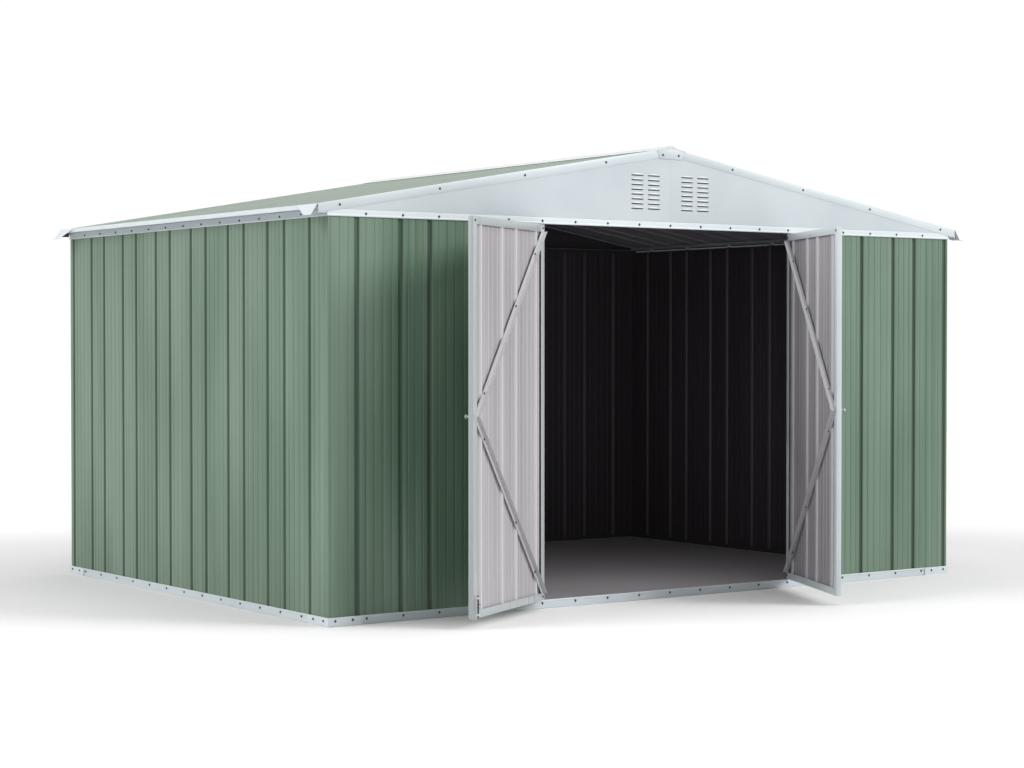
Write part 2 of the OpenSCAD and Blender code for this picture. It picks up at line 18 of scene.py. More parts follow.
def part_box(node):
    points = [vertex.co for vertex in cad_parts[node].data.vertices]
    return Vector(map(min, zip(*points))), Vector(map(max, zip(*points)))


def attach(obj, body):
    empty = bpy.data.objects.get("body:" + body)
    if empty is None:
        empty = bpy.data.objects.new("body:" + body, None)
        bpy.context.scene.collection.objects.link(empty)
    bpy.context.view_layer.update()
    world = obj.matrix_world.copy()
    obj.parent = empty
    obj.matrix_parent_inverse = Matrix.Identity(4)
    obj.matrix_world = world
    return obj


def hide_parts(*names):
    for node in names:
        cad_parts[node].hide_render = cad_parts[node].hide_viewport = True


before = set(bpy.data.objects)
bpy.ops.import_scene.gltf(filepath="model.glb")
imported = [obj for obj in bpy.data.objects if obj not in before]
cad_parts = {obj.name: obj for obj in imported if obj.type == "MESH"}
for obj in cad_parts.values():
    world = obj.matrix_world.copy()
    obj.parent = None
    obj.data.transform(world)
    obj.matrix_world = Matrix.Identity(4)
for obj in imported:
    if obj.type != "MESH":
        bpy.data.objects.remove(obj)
# Attribute of the ribbed sheets that says how deep in a groove a corner lies, from 0 to 1;
# the materials use it to paint shade into the outer grooves and highlights onto the inner ridges
RECESS = "recess"
# Power that keeps the recess of the shallow ribs well below that of the grooves, so that the
# ribs take less of the painted groove shade and highlight
RECESS_POWER = 1.6
LOG = logging.getLogger("shed")

Point = tuple[float, float]
Colour = tuple[float, float, float]
BMesh = bmesh.types.BMesh


class Body(Enum):
    """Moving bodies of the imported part."""

    SHED = "shed"
    LEFT_DOOR = "left_door"
    RIGHT_DOOR = "right_door"
    LEFT_BOLT = "left_bolt"


class Slot(Enum):
    """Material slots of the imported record."""

    GREEN_SHEET = "green_sheet"
    WHITE_TRIM = "white_trim"
    GALVANISED = "galvanised"
    DOOR_INNER = "door_inner"
    DARK_STEEL = "dark_steel"


class Side(Enum):
    """Walls of the building, each seen from outside."""

    FRONT = "front"
    RIGHT = "right"
    BACK = "back"
    LEFT = "left"


class Hand(Enum):
    """The two leaves of the doorway, with the sign of their side."""

    LEFT = -1
    RIGHT = 1


# ---------------------------------------------------------------- shader maths


class Wire:
    """A shader value that adds Math nodes when it is used in arithmetic."""

    def __init__(self, shader: "Shader", socket: bpy.types.NodeSocket) -> None:
        """Wraps one output socket.

        Args:
            shader: The material that the socket belongs to.
            socket: The output that holds the value.
        """
        self.shader = shader
        self.socket = socket

    def _maths(self, operation: str, first: "Value", second: "Value") -> "Wire":
        """Adds one Math node.

        Args:
            operation: The node's operation.
            first: Its first value.
            second: Its second value.

        Returns:
            The node's result.
        """
        return self.shader.node("ShaderNodeMath", {"operation": operation}, {0: first, 1: second})

    def __add__(self, other: "Value") -> "Wire":
        """Returns the sum."""
        return self._maths("ADD", self, other)

    def __sub__(self, other: "Value") -> "Wire":
        """Returns the difference."""
        return self._maths("SUBTRACT", self, other)

    def __rsub__(self, other: "Value") -> "Wire":
        """Returns a number less this value."""
        return self._maths("SUBTRACT", other, self)

    def __mul__(self, other: "Value") -> "Wire":
        """Returns the product."""
        return self._maths("MULTIPLY", self, other)

    __radd__ = __add__
    __rmul__ = __mul__


Value = Union[Wire, float]


class Shader:
    """One node material under construction."""

    def __init__(self, name: str) -> None:
        """Starts an empty node tree.

        Args:
            name: Name of the material.
        """
        self.material = bpy.data.materials.new(name)
        self.material.use_nodes = True
        self.tree = self.material.node_tree
        self.tree.nodes.clear()

    def node(self, kind: str, settings: dict | None = None, sockets: dict | None = None,
             out: int | str = 0) -> Wire:
        """Adds a node.

        Args:
            kind: Blender's type of the node.
            settings: Properties to set before the sockets.
            sockets: Values or wires by socket name or number.
            out: The output that is returned.

        Returns:
            The chosen output.
        """
        made = self.tree.nodes.new(kind)
        for key, value in (settings or {}).items():
            setattr(made, key, value)
        for key, value in (sockets or {}).items():
            if isinstance(value, Wire):
                self.tree.links.new(value.socket, made.inputs[key])
            else:
                made.inputs[key].default_value = value
        return Wire(self, made.outputs[out])

    def place(self, scale: Sequence[float] = (1, 1, 1)) -> Wire:
        """Returns the piece's own coordinates, stretched by a scale."""
        own = self.node("ShaderNodeTexCoord", out="Object")
        return self.node("ShaderNodeMapping", sockets={"Vector": own, "Scale": tuple(scale)})

    def height(self) -> Wire:
        """Returns the height above the ground."""
        return self.node("ShaderNodeSeparateXYZ", sockets={0: self.place()}, out="Z")

    def recess(self) -> Wire:
        """Returns how deep in a groove the surface lies, from 0 on the bands to 1 on the floors."""
        return self.node("ShaderNodeAttribute", {"attribute_name": RECESS}, out="Fac")

    def noise(self, where: Wire, scale: float, detail: float = 2.0) -> Wire:
        """Adds smooth noise.

        Args:
            where: The point that it is read at.
            scale: Its fineness.
            detail: Number of finer layers.

        Returns:
            A value from 0 to 1.
        """
        return self.node("ShaderNodeTexNoise",
                         sockets={"Vector": where, "Scale": scale, "Detail": detail})

    def ranged(self, value: Value, start: float, end: float, low: float, high: float) -> Wire:
        """Moves a value from one range to another and holds it there.

        Args:
            value: The value.
            start: What becomes the low end.
            end: What becomes the high end.
            low: The low end.
            high: The high end.

        Returns:
            The moved value.
        """
        return self.node("ShaderNodeMapRange", sockets={0: value, 1: start, 2: end, 3: low, 4: high})

    def mix(self, factor: Value, first: Union[Wire, Colour], second: Union[Wire, Colour]) -> Wire:
        """Blends two colours.

        Args:
            factor: Share of the second colour.
            first: The first colour.
            second: The second colour.

        Returns:
            The blend.
        """
        colours = [c if isinstance(c, Wire) else (*c, 1.0) for c in (first, second)]
        return self.node("ShaderNodeMix", {"data_type": "RGBA"},
                         {0: factor, 6: colours[0], 7: colours[1]}, out=2)

    def bump(self, height: Value, distance: float) -> Wire:
        """Returns normals raised by a height from 0 to 1 over a distance."""
        return self.node("ShaderNodeBump", sockets={"Height": height, "Distance": distance})

    def finish(self, **sockets: Union[Value, Colour]) -> bpy.types.Material:
        """Closes the tree with a Principled surface.

        Args:
            **sockets: The surface's inputs, with underscores for the spaces in their names.

        Returns:
            The finished material.
        """
        values = {k.replace("_", " "): (*v, 1.0) if isinstance(v, tuple) else v
                  for k, v in sockets.items()}
        surface = self.node("ShaderNodeBsdfPrincipled", sockets=values)
        self.node_output(surface)
        return self.material

    def node_output(self, surface: Wire) -> None:
        """Joins a surface to the material's output."""
        last = self.tree.nodes.new("ShaderNodeOutputMaterial")
        self.tree.links.new(surface.socket, last.inputs["Surface"])


def paint(red: int, green: int, blue: int) -> Colour:
    """Turns display values from 0 to 255 into a linear colour.

    Args:
        red: The paint's red.
        green: Its green.
        blue: Its blue.

    Returns:
        The linear colour.
    """
    return tuple(c / 12.92 if c <= 0.04045 else ((c + 0.055) / 1.055) ** 2.4
                 for c in (red / 255, green / 255, blue / 255))


# ---------------------------------------------------------------- finishes


# Dark green painted into the outer grooves as painted shade
PAINTED_GROOVE_SHADE_GREEN: Colour = (0.008, 0.030, 0.012)


@dataclass(frozen=True)
class CoatedSteel:
    """Coil coated steel, drawn through rollers that leave long soft streaks.

    The surface takes the groove colour by as much as the groove share where a sheet's recess
    reaches the groove start, and less above it. The groove colour is painted light: painted
    shade in the dark outer grooves, painted highlight on the pale inner ridges.
    """

    name: str
    colour: Colour
    streak_colour: Colour
    grain: tuple[float, float, float] = (26.0, 26.0, 0.5)
    patch: tuple[float, float, float] = (3.0, 3.0, 0.8)
    roughness: float = 0.42
    buckle: float = 0.004
    dust: float = 0.0
    dust_height: float = 0.45
    groove_painted_light_colour: Colour = PAINTED_GROOVE_SHADE_GREEN
    groove_painted_light_share: float = 0.0
    groove_painted_light_start: float = 0.25
    coat: float = 0.0
    coat_roughness: float = 0.12
    specular: float = 0.42
    peel_scale: float = 700.0
    peel_share: float = 0.004

    def make(self) -> bpy.types.Material:
        """Makes streaks, slow shifts of tone, painted shade in the grooves, painted highlight on pale
        ridges, faint buckles and orange peel.

        Returns:
            The material.
        """
        s = Shader(self.name)
        streak = s.noise(s.place(self.grain), 1.0, 3.0)
        patch = s.noise(s.place(self.patch), 1.0, 1.0)
        peel = s.noise(s.place(), self.peel_scale, 1.0)
        toned = s.mix(s.ranged(patch * 0.6 + streak * 0.4, 0.38, 0.62, 0.0, 1.0),
                      self.colour, self.streak_colour)
        dusty = s.ranged(s.height(), 0.0, self.dust_height, self.dust, 0.0) * streak
        # Painted light: the recess blends in the groove colour, painted shade in outer grooves and
        # painted highlight on inner ridges
        deep = s.ranged(s.recess(), 0.0, self.groove_painted_light_start, 0.0, self.groove_painted_light_share)
        colour = s.mix(dusty, s.mix(deep, toned, self.groove_painted_light_colour), DUST)
        buckles = s.noise(s.place([p * 0.9 for p in self.patch]), 1.0, 0.0)
        return s.finish(
            Base_Color=colour,
            Roughness=s.ranged(streak, 0.3, 0.7, self.roughness - 0.05, self.roughness + 0.08),
            Normal=s.bump(buckles + peel * self.peel_share, self.buckle),
            Specular_IOR_Level=self.specular,
            Coat_Weight=self.coat,
            Coat_Roughness=self.coat_roughness)


@dataclass(frozen=True)
class ZincSteel:
    """Galvanised steel with its spangle of crystals."""

    name: str
    colour: Colour
    spangle_colour: Colour
    crystal: float = 110.0
    roughness: float = 0.4
    metal: float = 0.55

    def make(self) -> bpy.types.Material:
        """Makes crystals of two tones with their own gloss, and handling marks.

        Returns:
            The material.
        """
        s = Shader(self.name)
        cell = s.node("ShaderNodeTexVoronoi", sockets={"Vector": s.place(), "Scale": self.crystal},
                      out="Color")
        tone = s.node("ShaderNodeSeparateColor", sockets={0: cell})
        marks = s.noise(s.place((9.0, 9.0, 9.0)), 1.0, 4.0)
        return s.finish(
            Base_Color=s.mix(tone * 0.6 + marks * 0.4, self.colour, self.spangle_colour),
            Roughness=s.ranged(tone * 0.5 + marks * 0.5, 0.2, 0.8,
                               self.roughness - 0.08, self.roughness + 0.12),
            Normal=s.bump(marks, 0.0006),
            Metallic=self.metal)


@dataclass(frozen=True)
class FittingSteel:
    """Dark plated steel of the screws, knobs and bolt."""

    name: str
    colour: Colour
    worn_colour: Colour
    roughness: float = 0.38
    metal: float = 0.7

    def make(self) -> bpy.types.Material:
        """Makes plating with worn, brighter flecks.

        Returns:
            The material.
        """
        s = Shader(self.name)
        wear = s.noise(s.place(), 160.0, 4.0)
        return s.finish(
            Base_Color=s.mix(s.ranged(wear, 0.52, 0.72, 0.0, 1.0), self.colour, self.worn_colour),
            Roughness=s.ranged(wear, 0.3, 0.7, self.roughness + 0.08, self.roughness - 0.08),
            Normal=s.bump(wear, 0.0003),
            Metallic=self.metal)


@dataclass(frozen=True)
class MattGround:
    """Plain matt ground of the studio."""

    name: str
    colour: Colour

    def make(self) -> bpy.types.Material:
        """Makes an even tone with a trace of mottling.

        Returns:
            The material.
        """
        s = Shader(self.name)
        mottle = s.noise(s.place(), 3.0, 2.0)
        shade = tuple(c * 0.985 for c in self.colour)
        return s.finish(Base_Color=s.mix(mottle, self.colour, shade), Roughness=0.9,
                        Specular_IOR_Level=0.1)


Finish = Union[CoatedSteel, ZincSteel, FittingSteel, MattGround]

DUST = paint(128, 128, 118)
SLOPE_GRAIN = (0.5, 26.0, 0.5)
SLOPE_PATCH = (0.8, 3.0, 0.8)
EVEN_GRAIN = (4.0, 4.0, 4.0)
EVEN_PATCH = (1.2, 1.2, 1.2)
# Green of the wall sheets and door panels, with painted shade in the grooves
GREEN = CoatedSteel(
    "sage_green_coat", paint(90, 115, 95), paint(114, 136, 118), dust=0.12, groove_painted_light_share=0.66)
# Green of the roof, with painted shade in the grooves
ROOF_GREEN = CoatedSteel(
    "sage_green_roof_coat", paint(68, 88, 70), paint(86, 106, 88), grain=SLOPE_GRAIN,
    patch=SLOPE_PATCH, roughness=0.38, groove_painted_light_share=0.4, coat=0.12)
# Dark coat of the faces indoors: painted shade of the shadowy inside, with painted highlight on the
# ridges that the grooves make there
PAINTED_SHADE_BACKING = CoatedSteel(
    "painted_shade_backing_coat", paint(66, 62, 66), paint(72, 68, 72), groove_painted_light_colour=paint(96, 92, 96),
    groove_painted_light_share=0.6)
ROOF_BACKING = CoatedSteel(
    "dark_roof_backing_coat", paint(150, 149, 155), paint(158, 157, 163), grain=SLOPE_GRAIN,
    patch=SLOPE_PATCH)
# Pale backing of the door panels' inner face; its lighter groove colour is painted highlight on the
# ridges and ribs
PALE_BACKING = CoatedSteel(
    "pale_backing_coat", paint(154, 151, 154), paint(166, 163, 166), roughness=0.38, buckle=0.003,
    groove_painted_light_colour=paint(196, 193, 197), groove_painted_light_share=0.9, groove_painted_light_start=0.1)
WHITE = CoatedSteel(
    "white_trim_coat", paint(200, 209, 213), paint(208, 216, 219), grain=EVEN_GRAIN,
    patch=EVEN_PATCH, roughness=0.36, buckle=0.003)
# Slightly darker copy of the trim white for the gable plates and louvres: painted shade
PAINTED_SHADE_GABLE_WHITE = CoatedSteel(
    "gable_plate_painted_shade_coat", paint(193, 202, 207), paint(201, 209, 213), grain=EVEN_GRAIN,
    patch=EVEN_PATCH, roughness=0.36, buckle=0.003)
# Darker grey copy of the white trim for the left leaf's frame: painted shade
PAINTED_SHADE_FRAME_GREY = CoatedSteel(
    "painted_shade_frame_coat", paint(162, 168, 169), paint(170, 176, 177), roughness=0.3, buckle=0.002)
ZINC = ZincSteel("galvanised_steel", paint(182, 184, 186), paint(200, 201, 202))
PALE_ZINC = ZincSteel(
    "pale_galvanised_steel", paint(196, 199, 200), paint(210, 212, 213), metal=0.2)
BRACE_ZINC = ZincSteel(
    "brace_galvanised_steel", paint(170, 170, 172), paint(182, 182, 184), metal=0.1)
# Near-white, dull steel that paints the lit edge inside the right head rail: painted highlight
PAINTED_HIGHLIGHT_LIP_ZINC = ZincSteel("painted_highlight_lip_steel", paint(236, 234, 232), paint(244, 242, 240), metal=0.0)
DARK = FittingSteel("dark_plated_steel", paint(70, 72, 76), paint(120, 122, 126))
BRIGHT = FittingSteel("bright_plated_steel", paint(150, 152, 155), paint(190, 192, 194))
STUDIO_FLOOR = MattGround("studio_floor", (0.70, 0.695, 0.70))
# Darker grey sheet on the ground inside the shed, which has no floor: painted shade
PAINTED_SHADE_GROUND = MattGround("painted_shade_ground", paint(150, 146, 149))

_made: dict[str, bpy.types.Material] = {}


def material(finish: Finish) -> bpy.types.Material:
    """Makes the material of a finish the first time that it is asked for.

    Args:
        finish: The finish.

    Returns:
        Its material.
    """
    if finish.name not in _made:
        _made[finish.name] = finish.make()
    return _made[finish.name]


# ---------------------------------------------------------------- mesh work

FOLD_SEGMENTS = 2
# Rounding of the folded edges of trims, and of the edges of cut plates and angles
FOLD_EDGE = 0.0005
PLATE_EDGE = 0.0004
CREASE = math.radians(30)
# Turns a section drawn in X and Y, and raised along Z, so that it runs along X and stands up in Z
ALONG_X = Matrix(((0, 0, 1, 0), (1, 0, 0, 0), (0, 1, 0, 0), (0, 0, 0, 1)))
# Turns a section drawn in X and Z, and raised along its own Z, so that it runs towards the front
ALONG_Y = Matrix(((1, 0, 0, 0), (0, 0, -1, 0), (0, 1, 0, 0), (0, 0, 0, 1)))
# Turns a screw so that it stands out of a face that looks forwards
FACING_OUT = Matrix.Rotation(math.pi / 2, 4, "X")


def folded_strip(path: Sequence[Point], length: float, radius: float) -> BMesh:
    """Makes the outer face of a folded sheet, drawn in X and Y and raised along Z.

    Args:
        path: Corners of the outer face, with the metal on the path's left.
        length: Height of the strip.
        radius: Radius of the folds.

    Returns:
        An open strip whose normals point away from the metal.
    """
    bm = bmesh.new()
    verts = [bm.verts.new((x, y, 0.0)) for x, y in path]
    edges = [bm.edges.new(pair) for pair in zip(verts, verts[1:])]
    raised = bmesh.ops.extrude_edge_only(bm, edges=edges)["geom"]
    bmesh.ops.translate(bm, verts=[v for v in raised if isinstance(v, bmesh.types.BMVert)],
                        vec=(0.0, 0.0, length))
    first = min(bm.faces, key=lambda f: (f.calc_center_median() - verts[0].co).length)
    along = verts[1].co - verts[0].co
    if first.normal.length == 0:
        bm.normal_update()
    if first.normal.dot(along.cross(Vector((0, 0, 1)))) < 0:
        bmesh.ops.reverse_faces(bm, faces=bm.faces)
    folds = [e for e in bm.edges if len(e.link_faces) == 2]
    if folds and radius > 0:
        bmesh.ops.bevel(bm, geom=folds, offset=radius, offset_type="OFFSET",
                        segments=FOLD_SEGMENTS, profile=0.5, affect="EDGES", material=-1,
                        clamp_overlap=True)
    return bm


def moved(bm: BMesh, matrix: Matrix) -> BMesh:
    """Moves a mesh, and keeps its normals outward when the move mirrors it.

    Args:
        bm: The mesh.
        matrix: The move.

    Returns:
        The same mesh.
    """
    bmesh.ops.transform(bm, matrix=matrix, verts=bm.verts)
    if matrix.determinant() < 0:
        bmesh.ops.reverse_faces(bm, faces=bm.faces)
    return bm


def recessed(bm: BMesh, depth_of: Callable[[Vector], float], full: float) -> BMesh:
    """Notes on a ribbed sheet's corners how deep in a groove each of them lies.

    Args:
        bm: The sheet, still in the plane that it was drawn in.
        depth_of: Gives a point's depth behind the bands.
        full: Depth of a groove's floor.

    Returns:
        The same mesh.
    """
    layer = bm.verts.layers.float.new(RECESS)
    for vert in bm.verts:
        vert[layer] = min(max(depth_of(vert.co) / full, 0.0), 1.0) ** RECESS_POWER
    return bm


def trimmed(bm: BMesh, point: Sequence[float], away: Sequence[float]) -> BMesh:
    """Cuts off what lies beyond a plane.

    Args:
        bm: The mesh to cut.
        point: A point on the plane.
        away: Direction of the side that is removed.

    Returns:
        The same mesh.
    """
    bmesh.ops.bisect_plane(bm, geom=[*bm.verts, *bm.edges, *bm.faces], dist=1e-6,
                           plane_co=point, plane_no=away, clear_outer=True)
    return bm


def softened(node: str, radius: float) -> BMesh:
    """Copies a node of the frame, joins its triangles into faces and rounds its edges.

    Args:
        node: Name of the node.
        radius: Radius of the rounding, or 0 to leave the edges sharp.

    Returns:
        The copy.
    """
    bm = bmesh.new()
    bm.from_mesh(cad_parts[node].data)
    bmesh.ops.remove_doubles(bm, verts=bm.verts, dist=1e-5)
    bmesh.ops.dissolve_limit(bm, angle_limit=math.radians(1), verts=bm.verts, edges=bm.edges)
    sharp = [e for e in bm.edges if e.is_manifold and e.calc_face_angle() > CREASE]
    if radius > 0:
        bmesh.ops.bevel(bm, geom=sharp, offset=radius, offset_type="OFFSET",
                        segments=FOLD_SEGMENTS, profile=0.5, affect="EDGES", material=-1,
                        clamp_overlap=True)
    return bm


def absorb(target: BMesh, source: BMesh) -> None:
    """Adds one mesh to another and frees it.

    Args:
        target: The mesh that grows.
        source: The mesh that is added.
    """
    carrier = bpy.data.meshes.new("carrier")
    source.to_mesh(carrier)
    source.free()
    target.from_mesh(carrier)
    bpy.data.meshes.remove(carrier)


def piece(name: str, bm: BMesh, body: Body, finishes: Sequence[Finish],
          replaces: Iterable[str] = (), thickness: float = 0.0) -> bpy.types.Object:
    """Makes a finished object of a mesh and lets it ride on its body.

    Args:
        name: Name of the piece.
        bm: Its mesh, which is freed.
        body: The body that it rides on.
        finishes: Finish of the outside and, for a two sided sheet, of the inside.
        replaces: Nodes of the frame that it stands for.
        thickness: Thickness to give an open sheet, on the side away from its normals.

    Returns:
        The object.
    """
    mesh = bpy.data.meshes.new(name)
    bm.to_mesh(mesh)
    bm.free()
    made = bpy.data.objects.new(name, mesh)
    bpy.context.scene.collection.objects.link(made)
    for finish in finishes:
        mesh.materials.append(material(finish))
    if thickness > 0:
        shell = made.modifiers.new("thickness", "SOLIDIFY")
        shell.thickness, shell.offset = thickness, -1.0
        shell.use_even_offset = True
        shell.material_offset = len(finishes) - 1
        graph = bpy.context.evaluated_depsgraph_get()
        made.data = bpy.data.meshes.new_from_object(made.evaluated_get(graph))
        made.modifiers.clear()
        bpy.data.meshes.remove(mesh)
        made.data.name = name
    made.data.shade_smooth()
    made.data.set_sharp_from_angle(angle=CREASE)
    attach(made, body.value)
    if replaces:
        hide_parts(*replaces)
    LOG.info("%s: %d faces on %s", name, len(made.data.polygons), body.value)
    return made


# ---------------------------------------------------------------- the building's main sizes

# Depth of a sheet's bands behind the wall's face, and of its groove floors behind the bands
SHEET_GAP = 0.0028
GROOVE_DEPTH = 0.009


@dataclass(frozen=True)
class Shell:
    """Main sizes of the building, read from the frame, and the gauges of its sheets."""

    sheet_gap: float = SHEET_GAP
    sheet_t: float = 0.001
    rail_t: float = 0.0012
    fit: float = 0.0002
    rail_d: float = 0.034
    slope: float = math.radians(9.8)
    roof_seat: float = 0.016
    groove_depth: float = GROOVE_DEPTH
    half_width: float = field(default_factory=lambda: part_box("wall_right")[1].x + SHEET_GAP)
    depth: float = field(default_factory=lambda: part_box("wall_back")[1].y + SHEET_GAP)
    sheet_z0: float = field(default_factory=lambda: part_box("wall_left")[0].z)
    sheet_z1: float = field(default_factory=lambda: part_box("wall_left")[1].z)
    roof_half: float = field(default_factory=lambda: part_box("roof_right")[1].x)

    @property
    def wall_top(self) -> float:
        """Top of the head rails."""
        return self.sheet_z1 + self.rail_t + self.fit

    @property
    def ridge_seat(self) -> float:
        """Height of the roof's seat plane at the middle."""
        return self.wall_top + self.roof_seat + self.half_width * math.tan(self.slope)

    @property
    def roof_top(self) -> float:
        """Top of the roof sheets above their seat, square to the slope."""
        return self.fit + self.sheet_t + self.groove_depth

    def length(self, side: Side) -> float:
        """Returns the length of a wall."""
        return 2 * self.half_width if side in (Side.FRONT, Side.BACK) else self.depth

    def frame(self, side: Side) -> Matrix:
        """Finds a wall's frame: X to the right seen from outside and Y inwards.

        Args:
            side: The wall.

        Returns:
            The move from the wall's frame to the building's.
        """
        corners = {
            Side.FRONT: (-self.half_width, 0.0, 0),
            Side.RIGHT: (self.half_width, 0.0, 90),
            Side.BACK: (self.half_width, self.depth, 180),
            Side.LEFT: (-self.half_width, self.depth, -90)}
        x, y, turn = corners[side]
        return Matrix.Translation((x, y, 0.0)) @ Matrix.Rotation(math.radians(turn), 4, "Z")

    def half_turn(self) -> Matrix:
        """Returns the half turn about the middle that carries the front to the back."""
        return Matrix.Translation((0.0, self.depth, 0.0)) @ Matrix.Rotation(math.pi, 4, "Z")

    def rake(self, x: float) -> float:
        """Returns the height of the roof's seat at a distance from the middle."""
        return self.ridge_seat - abs(x) * math.tan(self.slope)


MIRROR_X = Matrix.Scale(-1.0, 4, (1, 0, 0))


@dataclass(frozen=True)
class RibProfile:
    """Rolled section of the ribbed sheets: deep grooves, and small stiffening ribs between them."""

    pitch: float = 0.3885
    wide_band: float = 0.231
    depth: float = GROOVE_DEPTH
    mouth: float = 0.028
    floor: float = 0.014
    lap: float = 0.0012
    rib_pitch: float = 0.0435
    leg_pitch: float = 0.046
    rib_width: float = 0.0075
    rib_depth: float = 0.0022
    fold_radius: float = 0.0016

    def pairs(self, first: float, repeats: int) -> list[float]:
        """Returns the centres of a run of groove pairs that starts at the first one."""
        return [first + k * self.pitch + band for k in range(repeats) for band in (0.0, self.wide_band)]

    def groove(self, centre: float, plane: float) -> list[Point]:
        """Returns the corners of one groove, centred at a distance along a plane of bands."""
        return [(centre - self.mouth / 2, plane), (centre - self.floor / 2, plane + self.depth),
                (centre + self.floor / 2, plane + self.depth), (centre + self.mouth / 2, plane)]

    def rib(self, centre: float, plane: float) -> list[Point]:
        """Returns the corners of one small rib, which is pressed into the band."""
        half = self.rib_width / 2
        return [(centre - half, plane), (centre, plane + self.rib_depth), (centre + half, plane)]

    def ribs_between(self, first: float, second: float, plane: float) -> list[Point]:
        """Returns the evenly spaced ribs between two grooves.

        Args:
            first: Centre of the first groove.
            second: Centre of the second groove.
            plane: Depth of the bands behind the wall's face.

        Returns:
            Corners of the ribs.
        """
        count = round((second - first) / self.rib_pitch) - 1
        step = (second - first) / (count + 1)
        return [p for k in range(count) for p in self.rib(first + (k + 1) * step, plane)]

    def leg_ribs(self, groove: float, plane: float) -> list[Point]:
        """Returns the ribs of a corner panel's leg, counted from its groove to its corner.

        Args:
            groove: Distance of the leg's groove from the corner.
            plane: Depth of the bands behind the wall's face.

        Returns:
            Corners of the ribs.
        """
        count = int((groove - self.mouth / 2) / self.leg_pitch)
        centres = sorted(groove - self.leg_pitch * (k + 1) for k in range(count))
        return [p for c in centres for p in self.rib(c, plane)]

    def sheet(self, grooves: Sequence[float], plane: float, start: float | None = None,
              end: float | None = None) -> list[Point]:
        """Returns a wall sheet's section.

        Args:
            grooves: Centres of the grooves.
            plane: Depth of the bands behind the wall's face.
            start: Where the sheet starts, or None if it starts in its first groove.
            end: Where it ends, or None if it ends in its last groove.

        Returns:
            Corners of the outer face.
        """
        path: list[Point] = []
        stops = [stop for stop in (start, *grooves, end) if stop is not None]
        for index, centre in enumerate(stops):
            if index:
                path += self.ribs_between(stops[index - 1], centre, plane)
            if centre in (start, end):
                path.append((centre, plane))
            else:
                shape = self.groove(centre, plane)
                if index == 0:
                    shape = shape[1:]
                if index == len(stops) - 1:
                    shape = shape[:-1]
                path += shape
        return path


# ---------------------------------------------------------------- walls


@dataclass
class Walls:
    """Ribbed wall sheets and the corner panels that lap over them."""

    shell: Shell
    ribs: RibProfile = field(default_factory=RibProfile)
    front_first: float = 0.153
    side_first: float = 0.166
    front_repeats: int = 10
    side_repeats: int = 7
    doorway: float = 1.616
    jamb_clear: float = 0.042
    lap_short: float = 0.0005

    def grooves(self, side: Side) -> list[float]:
        """Finds a wall's groove centres.

        Args:
            side: The wall.

        Returns:
            Distances from its left end, seen from outside.
        """
        if side in (Side.FRONT, Side.BACK):
            return self.ribs.pairs(self.front_first, self.front_repeats)
        depth = self.shell.depth
        return sorted(depth - c for c in self.ribs.pairs(self.side_first, self.side_repeats))

    def _raise(self, name: str, path: Sequence[Point], side: Side) -> None:
        """Stands a sheet's section up in its wall and makes it a piece.

        Args:
            name: The node that the sheet stands for.
            path: Corners of its outer face.
            side: Its wall.
        """
        shell = self.shell
        bm = folded_strip(path, shell.sheet_z1 - shell.sheet_z0, self.ribs.fold_radius)
        recessed(bm, lambda at: min(at.x, at.y) - shell.sheet_gap, self.ribs.depth)
        moved(bm, shell.frame(side) @ Matrix.Translation((0, 0, shell.sheet_z0)))
        # The sheet's inner face takes the dark backing coat as painted shade
        piece(f"{name}_sheet", bm, Body.SHED, (GREEN, PAINTED_SHADE_BACKING), [name],
              shell.sheet_t)

    def _corner(self, name: str, side: Side, leg_before: float, leg_after: float) -> None:
        """Makes the corner panel at a wall's left end, with a leg on the wall before it.

        Args:
            name: The node that the panel stands for.
            side: The wall that it starts.
            leg_before: Distance from the corner to the groove that it laps on the wall before.
            leg_after: Distance to the groove that it laps on its own wall.
        """
        ribs, plane = self.ribs, self.shell.sheet_gap
        bottom = plane + ribs.depth - ribs.lap
        reach = ribs.floor / 2 - self.lap_short
        before = [(bottom, leg_before + reach), (bottom, leg_before - ribs.floor / 2),
                  (plane, leg_before - ribs.mouth / 2)]
        after = [(leg_after - ribs.mouth / 2, plane), (leg_after - ribs.floor / 2, bottom),
                 (leg_after + reach, bottom)]
        side_ribs = [(u, s) for s, u in reversed(ribs.leg_ribs(leg_before, plane))]
        path = [*before, *side_ribs, (plane, plane), *ribs.leg_ribs(leg_after, plane), *after]
        self._raise(name, path, side)

    def build(self) -> None:
        """Builds every sheet of the four walls."""
        plane = self.shell.sheet_gap
        sheet = self.ribs.sheet
        front, side = self.grooves(Side.FRONT), self.grooves(Side.LEFT)
        length = self.shell.length(Side.FRONT)
        jambs = ((length - self.doorway) / 2, (length + self.doorway) / 2)
        edge = self.shell.rail_t + self.shell.fit
        left = [c for c in front if c < jambs[0] - self.jamb_clear]
        right = [c for c in front if c > jambs[1] + self.jamb_clear]
        self._raise("wall_front_left", sheet(left, plane, end=jambs[0] - edge), Side.FRONT)
        self._raise("wall_front_right", sheet(right, plane, start=jambs[1] + edge), Side.FRONT)
        self._raise("wall_left", sheet(side, plane), Side.LEFT)
        self._raise("wall_right", sheet(side, plane), Side.RIGHT)
        self._raise("wall_back", sheet(front, plane), Side.BACK)
        front_end = length - front[-1]
        side_end = self.shell.depth - self.ribs.pairs(self.side_first, self.side_repeats)[-1]
        self._corner("corner_front_left", Side.FRONT, self.side_first, self.front_first)
        self._corner("corner_back_right", Side.BACK, self.side_first, self.front_first)
        self._corner("corner_front_right", Side.RIGHT, front_end, side_end)
        self._corner("corner_back_left", Side.LEFT, front_end, side_end)


# ---------------------------------------------------------------- rails


